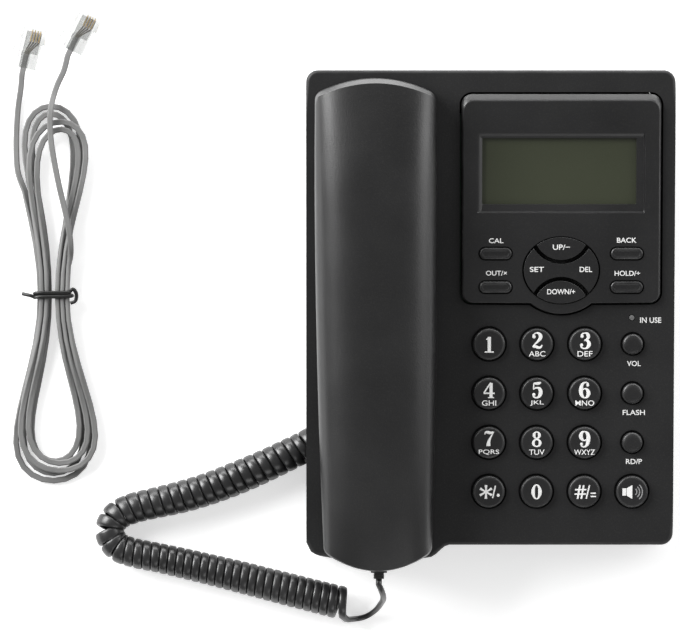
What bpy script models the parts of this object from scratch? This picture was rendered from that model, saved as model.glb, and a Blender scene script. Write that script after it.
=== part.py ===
"""Corded desk telephone: a wedge base with keys and a display, a handset, a coiled cord and a tied line cord.

World frame in metres: +X right, +Y to the rear, +Z up, origin on the desk under the middle of the object.
Pieces on the sloping deck are placed in the deck frame: x across, y up the slope from its front, z off the deck.
"""
import math

import bmesh
import bpy
import numpy as np
from mathutils import Matrix, Vector

MM = 0.001
DEGREE = math.pi / 180

# Fits shared by all pieces
SEAT = 0.3 * MM
OVERRUN = 5 * MM
WELD = 0.001 * MM
ROOT = 1 * MM
CORNER_STEPS = 4
SMOOTH_ANGLE = 35 * DEGREE

# Base casing
BASE_WIDTH = 160 * MM
BASE_LENGTH = 206.35 * MM
BASE_CORNER = 5.2 * MM
BASE_WALL = 2.4 * MM
DECK_THICK = 2.5 * MM
DECK_EDGE = 1.6 * MM
FRONT_HEIGHT = 28 * MM
DECK_TILT = 5 * DEGREE
HANDSET_REACH = 10.85 * MM
SPLIT_HEIGHT = 12 * MM
FLOOR_HEIGHT = 2 * MM
FLOOR_THICK = 2.3 * MM
FLOOR_TOP = FLOOR_HEIGHT + FLOOR_THICK
COVER_TOP = FRONT_HEIGHT + BASE_LENGTH
REAR_Y = (BASE_LENGTH + HANDSET_REACH) / 2
FRONT_Y = REAR_Y - BASE_LENGTH
HALF_WIDTH = BASE_WIDTH / 2

# Tongue of the base under the handset's front end
TONGUE_REACH = 7.4 * MM
TONGUE_X = -48.5 * MM
TONGUE_HALF = 31 * MM
TONGUE_CORNER = 6 * MM
TONGUE_INNER_CORNER = 8 * MM
TONGUE_ROOT = 1 * MM
TONGUE_STEPS = 8

# Handset, in the deck frame
HANDSET_X = -49.8 * MM
HANDSET_DRIFT = 0.86 * MM
HANDSET_HALF = 26.4 * MM
HANDSET_TAPER = 2.9 * MM
HANDSET_REAR_TAPER = 0.6 * MM
WIDEST_Y = 150 * MM
HANDSET_REAR = 203.7 * MM
REAR_SAG = 6.5 * MM
FRONT_SAG = 8.2 * MM
HANDSET_CORNER = 2.4 * MM
PARTING = 14 * MM
CROWN = 14 * MM
CROWN_DROP = 5.5 * MM
CROWN_POWER = 3.2
END_LEAN = 1.5 * MM
ARCH_ACROSS = 2.5
ARCH_UP = 2.1
HANDSET_WALL = 2 * MM
HANDSET_UNDER = 1.6 * MM
POD_DEPTH = 9 * MM
POD_CORNER = 11 * MM
POD_STEPS = 5
REAR_POD_HALF = 22 * MM
REAR_POD_START = 149 * MM
REAR_POD_END = 197 * MM
FRONT_POD_HALF = 20.5 * MM
FRONT_POD_START = -2.5 * MM
FRONT_POD_END = 43 * MM
GRIP_UNDER = 10 * MM
GRIP_START = 47 * MM
GRIP_END = 145 * MM
GRIP_RAMP = 14 * MM
RAMP_STEPS = 4
HANDSET_ROWS = 13
HANDSET_COLUMNS = 12
RIM_SHARE = 0.999
END_STEPS = 12
SIDE_STEPS = 7
HANDSET_FRONT = (PARTING * math.sin(DECK_TILT) - HANDSET_REACH) / math.cos(DECK_TILT)

# Wells and trough in the deck
WELL_SIDE = 0.8 * MM
WELL_DEPTH = POD_DEPTH + SEAT
TROUGH_DEPTH = 4 * MM
TROUGH_HALF = 19 * MM
TROUGH_OVERLAP = 8 * MM
TROUGH_Y = 96 * MM

# Keys on the deck
COLUMN_X = -0.5 * MM
COLUMN_PITCH = 20.8 * MM
ROW_Y = 88.1 * MM
ROW_PITCH = 21.5 * MM
KEY_RADIUS = 6.95 * MM
SIDE_KEY_RADIUS = 4.45 * MM
KEY_CLEARANCE = 0.55 * MM
KEY_RISE = 2.6 * MM
KEY_EDGE = 0.7 * MM
KEY_DOME = 0.35 * MM
KEY_FLANGE = 1.3 * MM
KEY_FLANGE_THICK = 1.1 * MM
KEY_TRAVEL = 1.5 * MM
KEY_STEPS = 16
KEY_COLUMNS = 4
KEY_ROWS = 4

# Display panel
BEZEL_LEFT = -12.7 * MM
BEZEL_WIDTH = 86.5 * MM
BEZEL_FRONT = 106.1 * MM
BEZEL_LENGTH = 90.6 * MM
BEZEL_CORNER = 4.6 * MM
BEZEL_RISE = 2.6 * MM
BEZEL_PLATE = 2.2 * MM
BEZEL_SKIRT = 1.8 * MM
BEZEL_GAP = 0.7 * MM
BEZEL_CHAMFER = 2.8 * MM
BEZEL_TAB = 2 * MM
BEZEL_TAB_LENGTH = 12 * MM
BEZEL_TAB_THICK = 1.4 * MM
BULGE_ACROSS = 20.4 * MM
BULGE_ALONG = 19.1 * MM
BULGE_STAND = 0.2 * MM
BULGE_STEPS = 10
RECESS_SIZE = (72.9 * MM, 35.1 * MM)
RECESS_CENTRE = (30.35 * MM, 162.9 * MM)
WINDOW_SIZE = (66.8 * MM, 28.7 * MM)
WINDOW_CENTRE = (29.7 * MM, 163.35 * MM)
RECESS_DEPTH = 3.2 * MM
RECESS_WALL = 1.6 * MM
LENS_MARGIN = 3 * MM
LENS_THICK = 1.4 * MM
LCD_MARGIN = 1 * MM

# Keys on the panel
NAV_CENTRE = (30.6 * MM, 120.4 * MM)
NAV_ACROSS = 16.5 * MM
NAV_ALONG = 14.4 * MM
NAV_GAP = 0.4 * MM
NAV_STEPS = 36
LENS_KEY_RADIUS = 11.95 * MM
LENS_KEY_DROP = 4.6 * MM
GROOVE_WIDTH = 1.8 * MM
NAV_RISE = 3.2 * MM
NAV_FLANGE = 1 * MM
ROCKER_GAP = 0.7 * MM
ROCKER_THICK = 2.4 * MM
ROCKER_POST = 2.5 * MM
OVAL_LENGTH = 13.9 * MM
OVAL_WIDTH = 5 * MM
OVAL_GAP = 0.55 * MM
OVAL_RISE = 3.5 * MM
OVAL_ACROSS = 28.45 * MM
OVAL_ALONG = 7.3 * MM
OVAL_STEPS = 4
PANEL_KEY_TRAVEL = 1.2 * MM
PANEL_FLANGE_THICK = 1.1 * MM
PANEL_MAT_GAP = 0.6 * MM

# Board, mats, lamp
BOARD_DROP = 8 * MM
BOARD_THICK = 1.6 * MM
BOARD_LEFT = -14.5 * MM
BOARD_RIGHT = 72.4 * MM
BOARD_START = 12 * MM
BOARD_END = 188 * MM
BOARD_POST = 2.4 * MM
BOARD_POST_INSET = 3.2 * MM
POST_STEPS = 12
MAT_MARGIN = 7.5 * MM
LAMP_X = 61.5 * MM
LAMP_Y = 99.6 * MM
LAMP_RADIUS = 1.1 * MM
LAMP_RISE = 0.3 * MM
LAMP_STEPS = 12

# Hook plunger and switch
HOOK_Y = 172 * MM
DISH_RADIUS = 14 * MM
DISH_DEPTH = 2 * MM
PLUNGER_RADIUS = 4 * MM
PLUNGER_FLANGE = 1.2 * MM
PLUNGER_FLANGE_THICK = 1.2 * MM
PLUNGER_TRAVEL = 4 * MM
SWITCH_SIZE = (16 * MM, 10 * MM, 7 * MM)
SWITCH_RIB = 1.6 * MM

# Screws, feet and weights
BOSS_RADIUS = 3.4 * MM
SCREW_RADIUS = 1.4 * MM
SCREW_HEAD_RADIUS = 2.75 * MM
SCREW_HEAD_THICK = 1.8 * MM
SCREW_RECESS = 0.3 * MM
SCREW_LENGTH = 14 * MM
SCREW_PAD_TOP = 7 * MM
SCREW_CLEARANCE = 0.35 * MM
BOSS_LEFT_X = -19.8 * MM
BOSS_RIGHT_X = 73.9 * MM
BOSS_FRONT_INSET = 8 * MM
BOSS_REAR_INSET = 6.2 * MM
FOOT_RADIUS = 6 * MM
FOOT_INSET = 15 * MM
FOOT_STEPS = 20
BALLAST_SIZE = (40 * MM, 72 * MM, 3 * MM)
BALLAST_CENTRE = (-48 * MM, 30 * MM)
RIB_WIDTH = 1.6 * MM
RIB_HEIGHT = 4 * MM

# Speaker under the board
SPEAKER_CENTRE = (28 * MM, 48 * MM)
SPEAKER_RADIUS = 25 * MM
SPEAKER_RIM = 2.5 * MM
SPEAKER_NECK = 13 * MM
SPEAKER_CONE = 9 * MM
SPEAKER_HEIGHT = 16 * MM
SPEAKER_STEPS = 24
GRILLE_RADIUS = 1.6 * MM
GRILLE_RING = 8.5 * MM
GRILLE_COUNT = 6
GRILLE_STEPS = 8

# Jacks in the casing
LINE_JACK_X = 30 * MM
LINE_JACK_SIZE = (13 * MM, 14 * MM, 13.5 * MM)
LINE_SOCKET = (9.9 * MM, 9.6 * MM, 7.2 * MM)
NICHE_Y = -51.8 * MM
NICHE_WIDTH = 24 * MM
NICHE_DEPTH = 16 * MM
NICHE_TOP = 15.5 * MM
NICHE_WALL = 2 * MM
CORD_JACK_SIZE = (12 * MM, 11 * MM, 9.4 * MM)
CORD_SOCKET_DEPTH = 7.5 * MM
CORD_PLUG_WIDTH = 7 * MM
CORD_PLUG_THICK = 5.4 * MM
CORD_PLUG_LENGTH = 10.5 * MM
PLUG_INSERT = 6 * MM

# Pieces inside the handset
CAPSULE_RADIUS = 13 * MM
CAPSULE_HEIGHT = 8 * MM
CAPSULE_Y = 175 * MM
CAPSULE_STEPS = 24
MICROPHONE_RADIUS = 4.9 * MM
MICROPHONE_HEIGHT = 5 * MM
MICROPHONE_Y = 17 * MM
EAR_HOLE_RADIUS = 1.3 * MM
EAR_RING = 6.5 * MM
EAR_HOLES = 6
HANDSET_JACK_SIZE = (11 * MM, 11 * MM, 8.6 * MM)
HANDSET_PLUG_X = -48.4 * MM
SOCKET_SETBACK = 1.4 * MM
BOOT_LENGTH = 3.8 * MM
BOOT_WIDTH = 4.6 * MM
BOOT_THICK = 3.8 * MM

# Reading and checking a cord's route
ROUTE_STEPS = 16
SPAN_STEPS = 4
APART_SHARE = 3
WOUND_ROUNDING = 1
CORD_ROUNDING = 2

# Handset cord: route of the coil's axis in millimetres, from the base to the end by the handset
COIL_AXIS = [(-69.6, -51.8, 9.3), (-73.0, -51.9, 9.2), (-77.9, -53.3, 7.6), (-83.8, -56.4, 6.9),
             (-91.8, -60.0, 6.9), (-99.7, -63.6, 6.9), (-109.4, -67.9, 6.9), (-120.4, -72.3, 6.9),
             (-130.6, -75.8, 6.9), (-139.8, -78.4, 6.9), (-148.7, -80.5, 6.9), (-157.0, -82.6, 6.9),
             (-164.0, -86.2, 6.9), (-166.9, -92.6, 6.9), (-163.6, -99.2, 6.9), (-156.4, -102.2, 6.9),
             (-144.7, -104.6, 6.9), (-127.1, -108.6, 6.9), (-109.4, -112.9, 6.9), (-91.8, -117.4, 6.9),
             (-74.1, -121.8, 6.9), (-63.1, -124.5, 6.9)]
COIL_RADIUS = 5.3 * MM
COIL_STRAND = 2.6 * MM
COIL_UPPER_PITCH = 4.6 * MM
COIL_LOWER_PITCH = 3.65 * MM
COIL_CHANGE_SHARE = 0.4
COIL_CHANGE_LENGTH_SHARE = 0.25
COIL_LEAST_GAP = 0.5 * MM
COIL_POINTS = 7
COIL_SAMPLES = 40
COIL_START_ANGLE = 20 * DEGREE
COIL_END_ANGLE = 215 * DEGREE
COIL_UNWIND = 9 * MM
COIL_STRAIGHT = 3 * MM
CORD_WIDTH = 2.8 * MM
CORD_SPACING = 2.2
TAIL_ROUTE = [(-56.8, -132.4, 1.9), (-52.6, -130.6, 2.7), (-49.2, -127.2, 6.8), (-47.2, -124.0, 13.5),
              (-46.4, -122.0, 21.5), (-46.5, -119.8, 28.6), (-47.3, -117.2, 33.0)]

# Line cord in a hank
HANK_CENTRE = (-191.8 * MM, 11.5 * MM)
HANK_STRAND = 2.4 * MM
HANK_STEP = 3.3 * MM
HANK_WAIST_STEP = 2.95 * MM
HANK_LAYER = 3.2 * MM
HANK_BOTTOM = 1.3 * MM
HANK_WAIST = 1.5 * MM
HANK_WAIST_LIFT = 1.5 * MM
HANK_TOP_LOBE = 14.8 * MM
HANK_FOOT_LOBE = 17.2 * MM
HANK_TOP = 86 * MM
HANK_FOOT = 83 * MM
HANK_LOWER_SHIFT = -1.5 * MM
HANK_UPPER_SHIFT = 3.4 * MM
HANK_RISE_SHIFT = -7 * MM
HANK_START = 150 * DEGREE
HANK_END = 1807 * DEGREE
HANK_POINTS = 24
HANK_LIFT_POWER = 8
WIDEST_SHARE = math.sqrt(1 / 3)
LINE_WIDTH = 2.6 * MM
TAIL_A_ROUTE = [(-207.8, 66.0, 1.4), (-209.0, 76.0, 1.4), (-209.4, 87.0, 1.4), (-208.4, 97.0, 1.5),
                (-206.6, 104.5, 2.4)]
TAIL_B_ROUTE = [(-182.3, 27.0, 6.6), (-183.0, 34.0, 8.8), (-186.0, 46.5, 9.2), (-189.6, 62.0, 9.0),
                (-192.6, 79.0, 8.8), (-193.4, 92.0, 7.6), (-191.8, 102.5, 3.6), (-188.9, 110.0, 2.6)]
PLUG_A_PLACE = (-204.5, 111.6)
PLUG_A_TURN = -13 * DEGREE
PLUG_B_PLACE = (-184.9, 119.2)
PLUG_B_TURN = -27 * DEGREE
LINE_PLUG_WIDTH = 10.4 * MM
LINE_PLUG_LENGTH = 18.2 * MM
LINE_PLUG_HEIGHT = 9.4 * MM
LINE_PLUG_LATCH = (1.3 * MM, 15 * MM, 5.6 * MM)
LATCH_ANGLE = 13 * DEGREE
PLUG_CORD_OFFSET = -2.2 * MM
PLUG_CORD_HEIGHT = 3.2 * MM
TIE_WIDTH = 1.1 * MM
TIE_CLEAR = 0.6 * MM
TIE_ADVANCE = 3.3 * MM
TIE_SQUARE = 0.4
TIE_OPEN_SHARE = 0.01
TIE_STEPS = 20
TIE_TAIL = 6 * MM

FINISHES = {
    "casing": ((0.024, 0.024, 0.026), 0.5, 0),
    "panel": ((0.02, 0.02, 0.021), 0.42, 0),
    "key": ((0.03, 0.03, 0.032), 0.45, 0),
    "lens": ((0.05, 0.057, 0.034), 0.15, 0),
    "lcd": ((0.08, 0.09, 0.055), 0.4, 0),
    "rubber": ((0.03, 0.03, 0.03), 0.8, 0),
    "board": ((0.03, 0.12, 0.05), 0.5, 0),
    "steel": ((0.55, 0.55, 0.56), 0.35, 1),
    "lamp": ((0.4, 0.38, 0.36), 0.3, 0),
    "cord": ((0.02, 0.02, 0.02), 0.5, 0),
    "line": ((0.3, 0.3, 0.3), 0.5, 0),
    "clear": ((0.85, 0.86, 0.87), 0.1, 0),
}


def clear_scene():
    for obj in list(bpy.data.objects):
        bpy.data.objects.remove(obj)


def new_collection(name):
    collection = bpy.data.collections.new(name)
    bpy.context.scene.collection.children.link(collection)
    return collection


clear_scene()
PARTS = new_collection("corded_telephone")
CUTTERS = new_collection("cutters")


def frame_empty(name, location, tilt):
    empty = bpy.data.objects.new(name, None)
    empty.location = location
    empty.rotation_euler = (tilt, 0, 0)
    PARTS.objects.link(empty)
    return empty


DECK = frame_empty("deck_frame", (0, FRONT_Y, FRONT_HEIGHT), DECK_TILT)


def new_material(name, finish):
    colour, roughness, metallic = FINISHES[finish]
    material = bpy.data.materials.new(name)
    material.use_nodes = True
    shader = material.node_tree.nodes["Principled BSDF"]
    shader.inputs["Base Color"].default_value = (*colour, 1)
    shader.inputs["Roughness"].default_value = roughness
    shader.inputs["Metallic"].default_value = metallic
    return material


def add_part(name, mesh, finish, parent=None, location=(0, 0, 0)):
    part = bpy.data.objects.new(name, mesh)
    mesh.materials.clear()
    mesh.materials.append(new_material(name + "_finish", finish))
    part.parent = parent
    part.location = location
    PARTS.objects.link(part)
    return part


def add_cutter(name, mesh, parent=None, location=(0, 0, 0), rotation=(0, 0, 0)):
    cutter = bpy.data.objects.new(name, mesh)
    cutter.parent = parent
    cutter.location = location
    cutter.rotation_euler = rotation
    cutter.hide_render = True
    cutter.display_type = "WIRE"
    CUTTERS.objects.link(cutter)
    return cutter


def combine(target, tool, operation):
    change = target.modifiers.new(tool.name, "BOOLEAN")
    change.operation = operation
    change.solver = "EXACT"
    change.object = tool


def cut(target, *tools):
    for tool in tools:
        combine(target, tool, "DIFFERENCE")


def join(target, *tools):
    for tool in tools:
        combine(target, tool, "UNION")


def keep_mesh(bm, name):
    mesh = bpy.data.meshes.new(name)
    bm.to_mesh(mesh)
    bm.free()
    return mesh


def round_off(mesh):
    """Shade the round sides of a piece smooth and keep its edges crisp."""
    mesh.shade_smooth()
    mesh.set_sharp_from_angle(angle=SMOOTH_ANGLE)
    return mesh


def boxes(name, spans):
    """One mesh of separate boxes, each given by its lowest and highest corner."""
    bm = bmesh.new()
    for low, high in spans:
        size = Vector(high) - Vector(low)
        centre = (Vector(high) + Vector(low)) / 2
        bmesh.ops.create_cube(bm, size=1, matrix=Matrix.Translation(centre) @ Matrix.Diagonal((*size, 1)))
    return keep_mesh(bm, name)


def rods(name, places, steps):
    """One mesh of separate upright cylinders, each given as x, y, radius, low and high."""
    bm = bmesh.new()
    for x, y, radius, low, high in places:
        centre = Matrix.Translation((x, y, (low + high) / 2))
        bmesh.ops.create_cone(bm, cap_ends=True, segments=steps, radius1=radius, radius2=radius,
                              depth=high - low, matrix=centre)
    return round_off(keep_mesh(bm, name))


def prism(name, outline, low, high):
    """A flat outline extruded along z from low to high, as a closed mesh."""
    curve = bpy.data.curves.new(name, "CURVE")
    curve.dimensions = "2D"
    curve.fill_mode = "NONE"
    curve.extrude = (high - low) / 2
    spline = curve.splines.new("POLY")
    spline.points.add(len(outline) - 1)
    for point, (x, y) in zip(spline.points, outline):
        point.co = (x, y, 0, 1)
    spline.use_cyclic_u = True
    holder = bpy.data.objects.new(name, curve)
    holder.location = (0, 0, (low + high) / 2)
    CUTTERS.objects.link(holder)
    bpy.context.view_layer.update()
    shape = bpy.data.meshes.new_from_object(holder.evaluated_get(bpy.context.evaluated_depsgraph_get()))
    shape.transform(holder.matrix_world)
    bpy.data.objects.remove(holder)
    bm = bmesh.new()
    bm.from_mesh(shape)
    bmesh.ops.remove_doubles(bm, verts=bm.verts, dist=WELD)
    bmesh.ops.holes_fill(bm, edges=bm.edges)
    bmesh.ops.recalc_face_normals(bm, faces=bm.faces)
    bpy.data.meshes.remove(shape)
    return round_off(keep_mesh(bm, name))


def turned(name, profile, steps, finish, parent=None, location=(0, 0, 0)):
    """A part turned about z from a profile that runs from the top of its axis to the bottom."""
    mesh = bpy.data.meshes.new(name)
    edges = [(index, index + 1) for index in range(len(profile) - 1)]
    mesh.from_pydata([(radius, 0, height) for radius, height in profile], edges, [])
    part = add_part(name, mesh, finish, parent, location)
    screw = part.modifiers.new("turn", "SCREW")
    screw.steps = steps
    screw.render_steps = steps
    screw.use_merge_vertices = True
    screw.merge_threshold = WELD
    screw.use_smooth_shade = True
    return part


def tube(name, points, diameter, resolution, finish):
    """A cord along its points, with filled ends."""
    curve = bpy.data.curves.new(name, "CURVE")
    curve.dimensions = "3D"
    curve.bevel_depth = diameter / 2
    curve.bevel_resolution = resolution
    curve.use_fill_caps = True
    spline = curve.splines.new("POLY")
    spline.points.add(len(points) - 1)
    for point, place in zip(spline.points, points):
        point.co = (*place, 1)
    part = bpy.data.objects.new(name, curve)
    curve.materials.append(new_material(name + "_finish", finish))
    PARTS.objects.link(part)
    return part


def rounded(corners, radius, steps):
    """An outline through corners given counterclockwise, each turned with an arc of the radius."""
    outline = []
    count = len(corners)
    for index in range(count):
        corner = Vector(corners[index])
        back = (Vector(corners[index - 1]) - corner).normalized()
        ahead = (Vector(corners[(index + 1) % count]) - corner).normalized()
        half = back.angle(ahead) / 2
        centre = corner + (back + ahead).normalized() * radius / math.sin(half)
        start = corner + back * radius / math.tan(half) - centre
        finish = corner + ahead * radius / math.tan(half) - centre
        turn = start.angle_signed(finish)
        for step in range(steps + 1):
            point = centre + Matrix.Rotation(-turn * step / steps, 2) @ start
            outline.append((point.x, point.y))
    return outline


def rectangle(left, front, right, rear):
    return [(left, front), (right, front), (right, rear), (left, rear)]


def centred_box(centre, size, low):
    """The lowest and highest corner of a box that stands at a height on its plan centre."""
    (x, y), (width, length, height) = centre, size
    return ((x - width / 2, y - length / 2, low), (x + width / 2, y + length / 2, low + height))


def deck_height(y):
    return FRONT_HEIGHT + (y - FRONT_Y) * math.tan(DECK_TILT)


def ease(share):
    """A share from 0 to 1 that starts and ends gently."""
    return share ** 2 * (3 - 2 * share)


# Base casing


def base_outline(inset):
    """Plan of the casing, with the tongue under the handset's front end."""
    side = HALF_WIDTH - inset
    front = FRONT_Y + inset
    rear = REAR_Y - inset
    body = rounded(rectangle(-side, front, side, rear), BASE_CORNER - inset / 2, CORNER_STEPS)
    corner = [point for point in body if point[0] < 0 and point[1] < 0]
    others = body[len(corner):]
    tongue = [(-side, front + TONGUE_ROOT)]
    right = TONGUE_X + TONGUE_HALF
    for step in range(1, TONGUE_STEPS + 1):
        share = step / TONGUE_STEPS
        x = -side + (right - inset + side) * share
        tongue.append((x, front - tongue_reach(x, side, right - inset)))
    return tongue + others


def tongue_reach(x, side, right):
    """How far the tongue stands out of the front edge at x."""
    left_share = min((x + side) / TONGUE_CORNER, 1)
    right_share = min((right - x) / TONGUE_INNER_CORNER, 1)
    rise = math.sqrt(max(1 - (1 - left_share) ** 2, 0))
    bow = ((x - TONGUE_X) / TONGUE_HALF) ** 2
    return TONGUE_REACH * (1 - bow / 2) * rise * ease(right_share)


def wedge(name, inset, low, drop, edge):
    """A block on the casing's plan whose top lies below the deck plane by drop."""
    mesh = prism(name, base_outline(inset), low, COVER_TOP)
    bm = bmesh.new()
    bm.from_mesh(mesh)
    for vert in bm.verts:
        if vert.co.z > COVER_TOP - OVERRUN:
            vert.co.z = deck_height(vert.co.y) - drop
    if edge:
        rim = [line for line in bm.edges if min(vert.co.z for vert in line.verts) > FRONT_HEIGHT / 2]
        rim = [line for line in rim if abs(line.verts[0].co.z - line.verts[1].co.z) < FRONT_HEIGHT]
        bmesh.ops.bevel(bm, geom=rim, offset=edge, segments=2, profile=0.5, affect="EDGES")
    bm.to_mesh(mesh)
    bm.free()
    return mesh


def pods(grow):
    """Plan outlines of the handset's two deep ends, grown for the wells around them."""
    rear_x = handset_middle(CAPSULE_Y)
    front_x = handset_middle(MICROPHONE_Y)
    rear_half = REAR_POD_HALF + grow
    front_half = FRONT_POD_HALF + grow
    rear = rectangle(rear_x - rear_half, REAR_POD_START - grow, rear_x + rear_half, REAR_POD_END + grow)
    front = rectangle(front_x - front_half, FRONT_POD_START - grow,
                      front_x + front_half, FRONT_POD_END + grow)
    return rounded(rear, POD_CORNER + grow, POD_STEPS), rounded(front, POD_CORNER + grow, POD_STEPS)


def well_cutters(name, grow, floor):
    """Tools for the wells and the trough, open upwards and grown by a wall for the hollow below."""
    top = OVERRUN
    tools = []
    for index, outline in enumerate(pods(WELL_SIDE + grow)):
        mesh = prism(f"{name}_well_{index}", outline, -WELL_DEPTH - floor, top)
        tools.append(add_cutter(mesh.name, mesh, DECK))
    half = TROUGH_HALF + grow
    middle = handset_middle(TROUGH_Y)
    low = (middle - half, FRONT_POD_END - TROUGH_OVERLAP, -TROUGH_DEPTH - floor)
    high = (middle + half, REAR_POD_START + TROUGH_OVERLAP, top + ROOT)
    mesh = boxes(name + "_trough", [(low, high)])
    tools.append(add_cutter(mesh.name, mesh, DECK))
    return tools


def key_places():
    """Every round key's name, place and cap radius."""
    places = []
    names = ["key_1", "key_2", "key_3", "volume_key", "key_4", "key_5", "key_6", "flash_key",
             "key_7", "key_8", "key_9", "redial_key", "key_star", "key_0", "key_hash", "speaker_key"]
    for index, name in enumerate(names):
        row, column = divmod(index, KEY_COLUMNS)
        radius = SIDE_KEY_RADIUS if name in ("volume_key", "flash_key", "redial_key") else KEY_RADIUS
        places.append((name, COLUMN_X + column * COLUMN_PITCH, ROW_Y - row * ROW_PITCH, radius))
    return places


def bezel_outline(grow):
    """Plan of the display panel, with the bulge round the oval keys."""
    left = BEZEL_LEFT - grow
    right = BEZEL_LEFT + BEZEL_WIDTH + grow
    front = BEZEL_FRONT - grow
    rear = BEZEL_FRONT + BEZEL_LENGTH + grow
    frame = rounded(rectangle(left, front, right, rear), BEZEL_CORNER + grow, CORNER_STEPS)
    across = BULGE_ACROSS + grow
    along = BULGE_ALONG + grow
    start = math.asin((NAV_CENTRE[1] - front + BULGE_STAND) / along)
    bulge = []
    for step in range(BULGE_STEPS + 1):
        angle = math.pi + start + (math.pi - 2 * start) * step / BULGE_STEPS
        bulge.append((NAV_CENTRE[0] + across * math.cos(angle), NAV_CENTRE[1] + along * math.sin(angle)))
    first_corner = CORNER_STEPS + 1
    return frame[:first_corner] + bulge + frame[first_corner:]


def screw_places():
    places = []
    for x in (BOSS_LEFT_X, BOSS_RIGHT_X):
        places.append((x, FRONT_Y + BOSS_FRONT_INSET))
        places.append((x, REAR_Y - BOSS_REAR_INSET))
    return places


def make_top_cover():
    cover = add_part("top_cover", wedge("top_cover", 0, SPLIT_HEIGHT + SEAT, 0, DECK_EDGE), "casing")
    hollow = add_cutter("cover_hollow", wedge("cover_hollow", BASE_WALL, -OVERRUN, DECK_THICK, 0))
    cut(hollow, *well_cutters("wall_of", BASE_WALL, DECK_THICK))
    cut(cover, hollow)
    holes = [(x, y, radius + KEY_CLEARANCE, -DECK_THICK - OVERRUN, OVERRUN)
             for _, x, y, radius in key_places()]
    cut(cover, add_cutter("key_holes", rods("key_holes", holes, KEY_STEPS), DECK))
    top_of_boss = FRONT_HEIGHT - DECK_THICK / 2
    rise = math.tan(DECK_TILT)
    bosses = [(x, y, BOSS_RADIUS, SCREW_PAD_TOP + SEAT, top_of_boss + (y - FRONT_Y) * rise)
              for x, y in screw_places()]
    join(cover, add_cutter("cover_bosses", rods("cover_bosses", bosses, POST_STEPS)))
    posts = []
    for x in (BOARD_LEFT + BOARD_POST_INSET, BOARD_RIGHT - BOARD_POST_INSET):
        for y in (BOARD_START + BOARD_POST_INSET, LAMP_Y):
            posts.append((x, y, BOARD_POST, SEAT - BOARD_DROP, -DECK_THICK / 2))
    join(cover, add_cutter("board_posts", rods("board_posts", posts, POST_STEPS), DECK))
    cut(cover, *well_cutters("handset", 0, 0))
    add_switch_ribs(cover)
    small = [(LAMP_X, LAMP_Y, LAMP_RADIUS + SEAT, -DECK_THICK - OVERRUN, OVERRUN),
             (handset_middle(HOOK_Y), HOOK_Y, PLUNGER_RADIUS + SEAT,
              -WELL_DEPTH - DECK_THICK - OVERRUN, -WELL_DEPTH + OVERRUN)]
    small_holes = rods("lamp_and_plunger_holes", small, POST_STEPS)
    cut(cover, add_cutter(small_holes.name, small_holes, DECK))
    panel = prism("panel_opening", bezel_outline(BEZEL_GAP), -DECK_THICK - OVERRUN, OVERRUN)
    cut(cover, add_cutter("panel_opening", panel, DECK))
    drill = [(x, y, SCREW_RADIUS + SCREW_CLEARANCE, -OVERRUN, SCREW_PAD_TOP + SCREW_LENGTH)
             for x, y in screw_places()]
    cut(cover, add_cutter("boss_drill", rods("boss_drill", drill, POST_STEPS)))
    notches = [line_jack_notch(), niche_notch()]
    cut(cover, add_cutter("side_notches", boxes("side_notches", notches)))
    return cover


def switch_top():
    """Height of the hook switch's top, off the deck."""
    return plunger_bottom() - SEAT


def plunger_bottom():
    underside = -WELL_DEPTH - DECK_THICK
    return underside - SEAT - PLUNGER_TRAVEL - PLUNGER_FLANGE_THICK


def add_switch_ribs(cover):
    """Two walls under the rear well that hold the hook switch between them."""
    x = handset_middle(HOOK_Y)
    width, length, height = SWITCH_SIZE
    low = switch_top() - height
    high = -WELL_DEPTH - DECK_THICK / 2
    spans = []
    for side in (-1, 1):
        inner = x + side * (width / 2 + SEAT)
        outer = inner + side * SWITCH_RIB
        left, right = sorted((inner, outer))
        spans.append(((left, HOOK_Y - length / 2, low), (right, HOOK_Y + length / 2, high)))
    join(cover, add_cutter("switch_ribs", boxes("switch_ribs", spans), DECK))


def line_jack_notch():
    width, length, height = LINE_JACK_SIZE
    half = width / 2 + SEAT
    low = (LINE_JACK_X - half, REAR_Y - length, FLOOR_TOP + SEAT / 2)
    high = (LINE_JACK_X + half, REAR_Y + OVERRUN, FLOOR_TOP + height + 2 * SEAT)
    return low, high


def niche_box(grow, low):
    """The recess in the left wall where the handset cord plugs in."""
    half = NICHE_WIDTH / 2 + grow
    return ((-HALF_WIDTH - OVERRUN, NICHE_Y - half, low),
            (-HALF_WIDTH + NICHE_DEPTH + grow, NICHE_Y + half, NICHE_TOP + grow))


def niche_notch():
    return niche_box(NICHE_WALL + SEAT, -OVERRUN)


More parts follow.
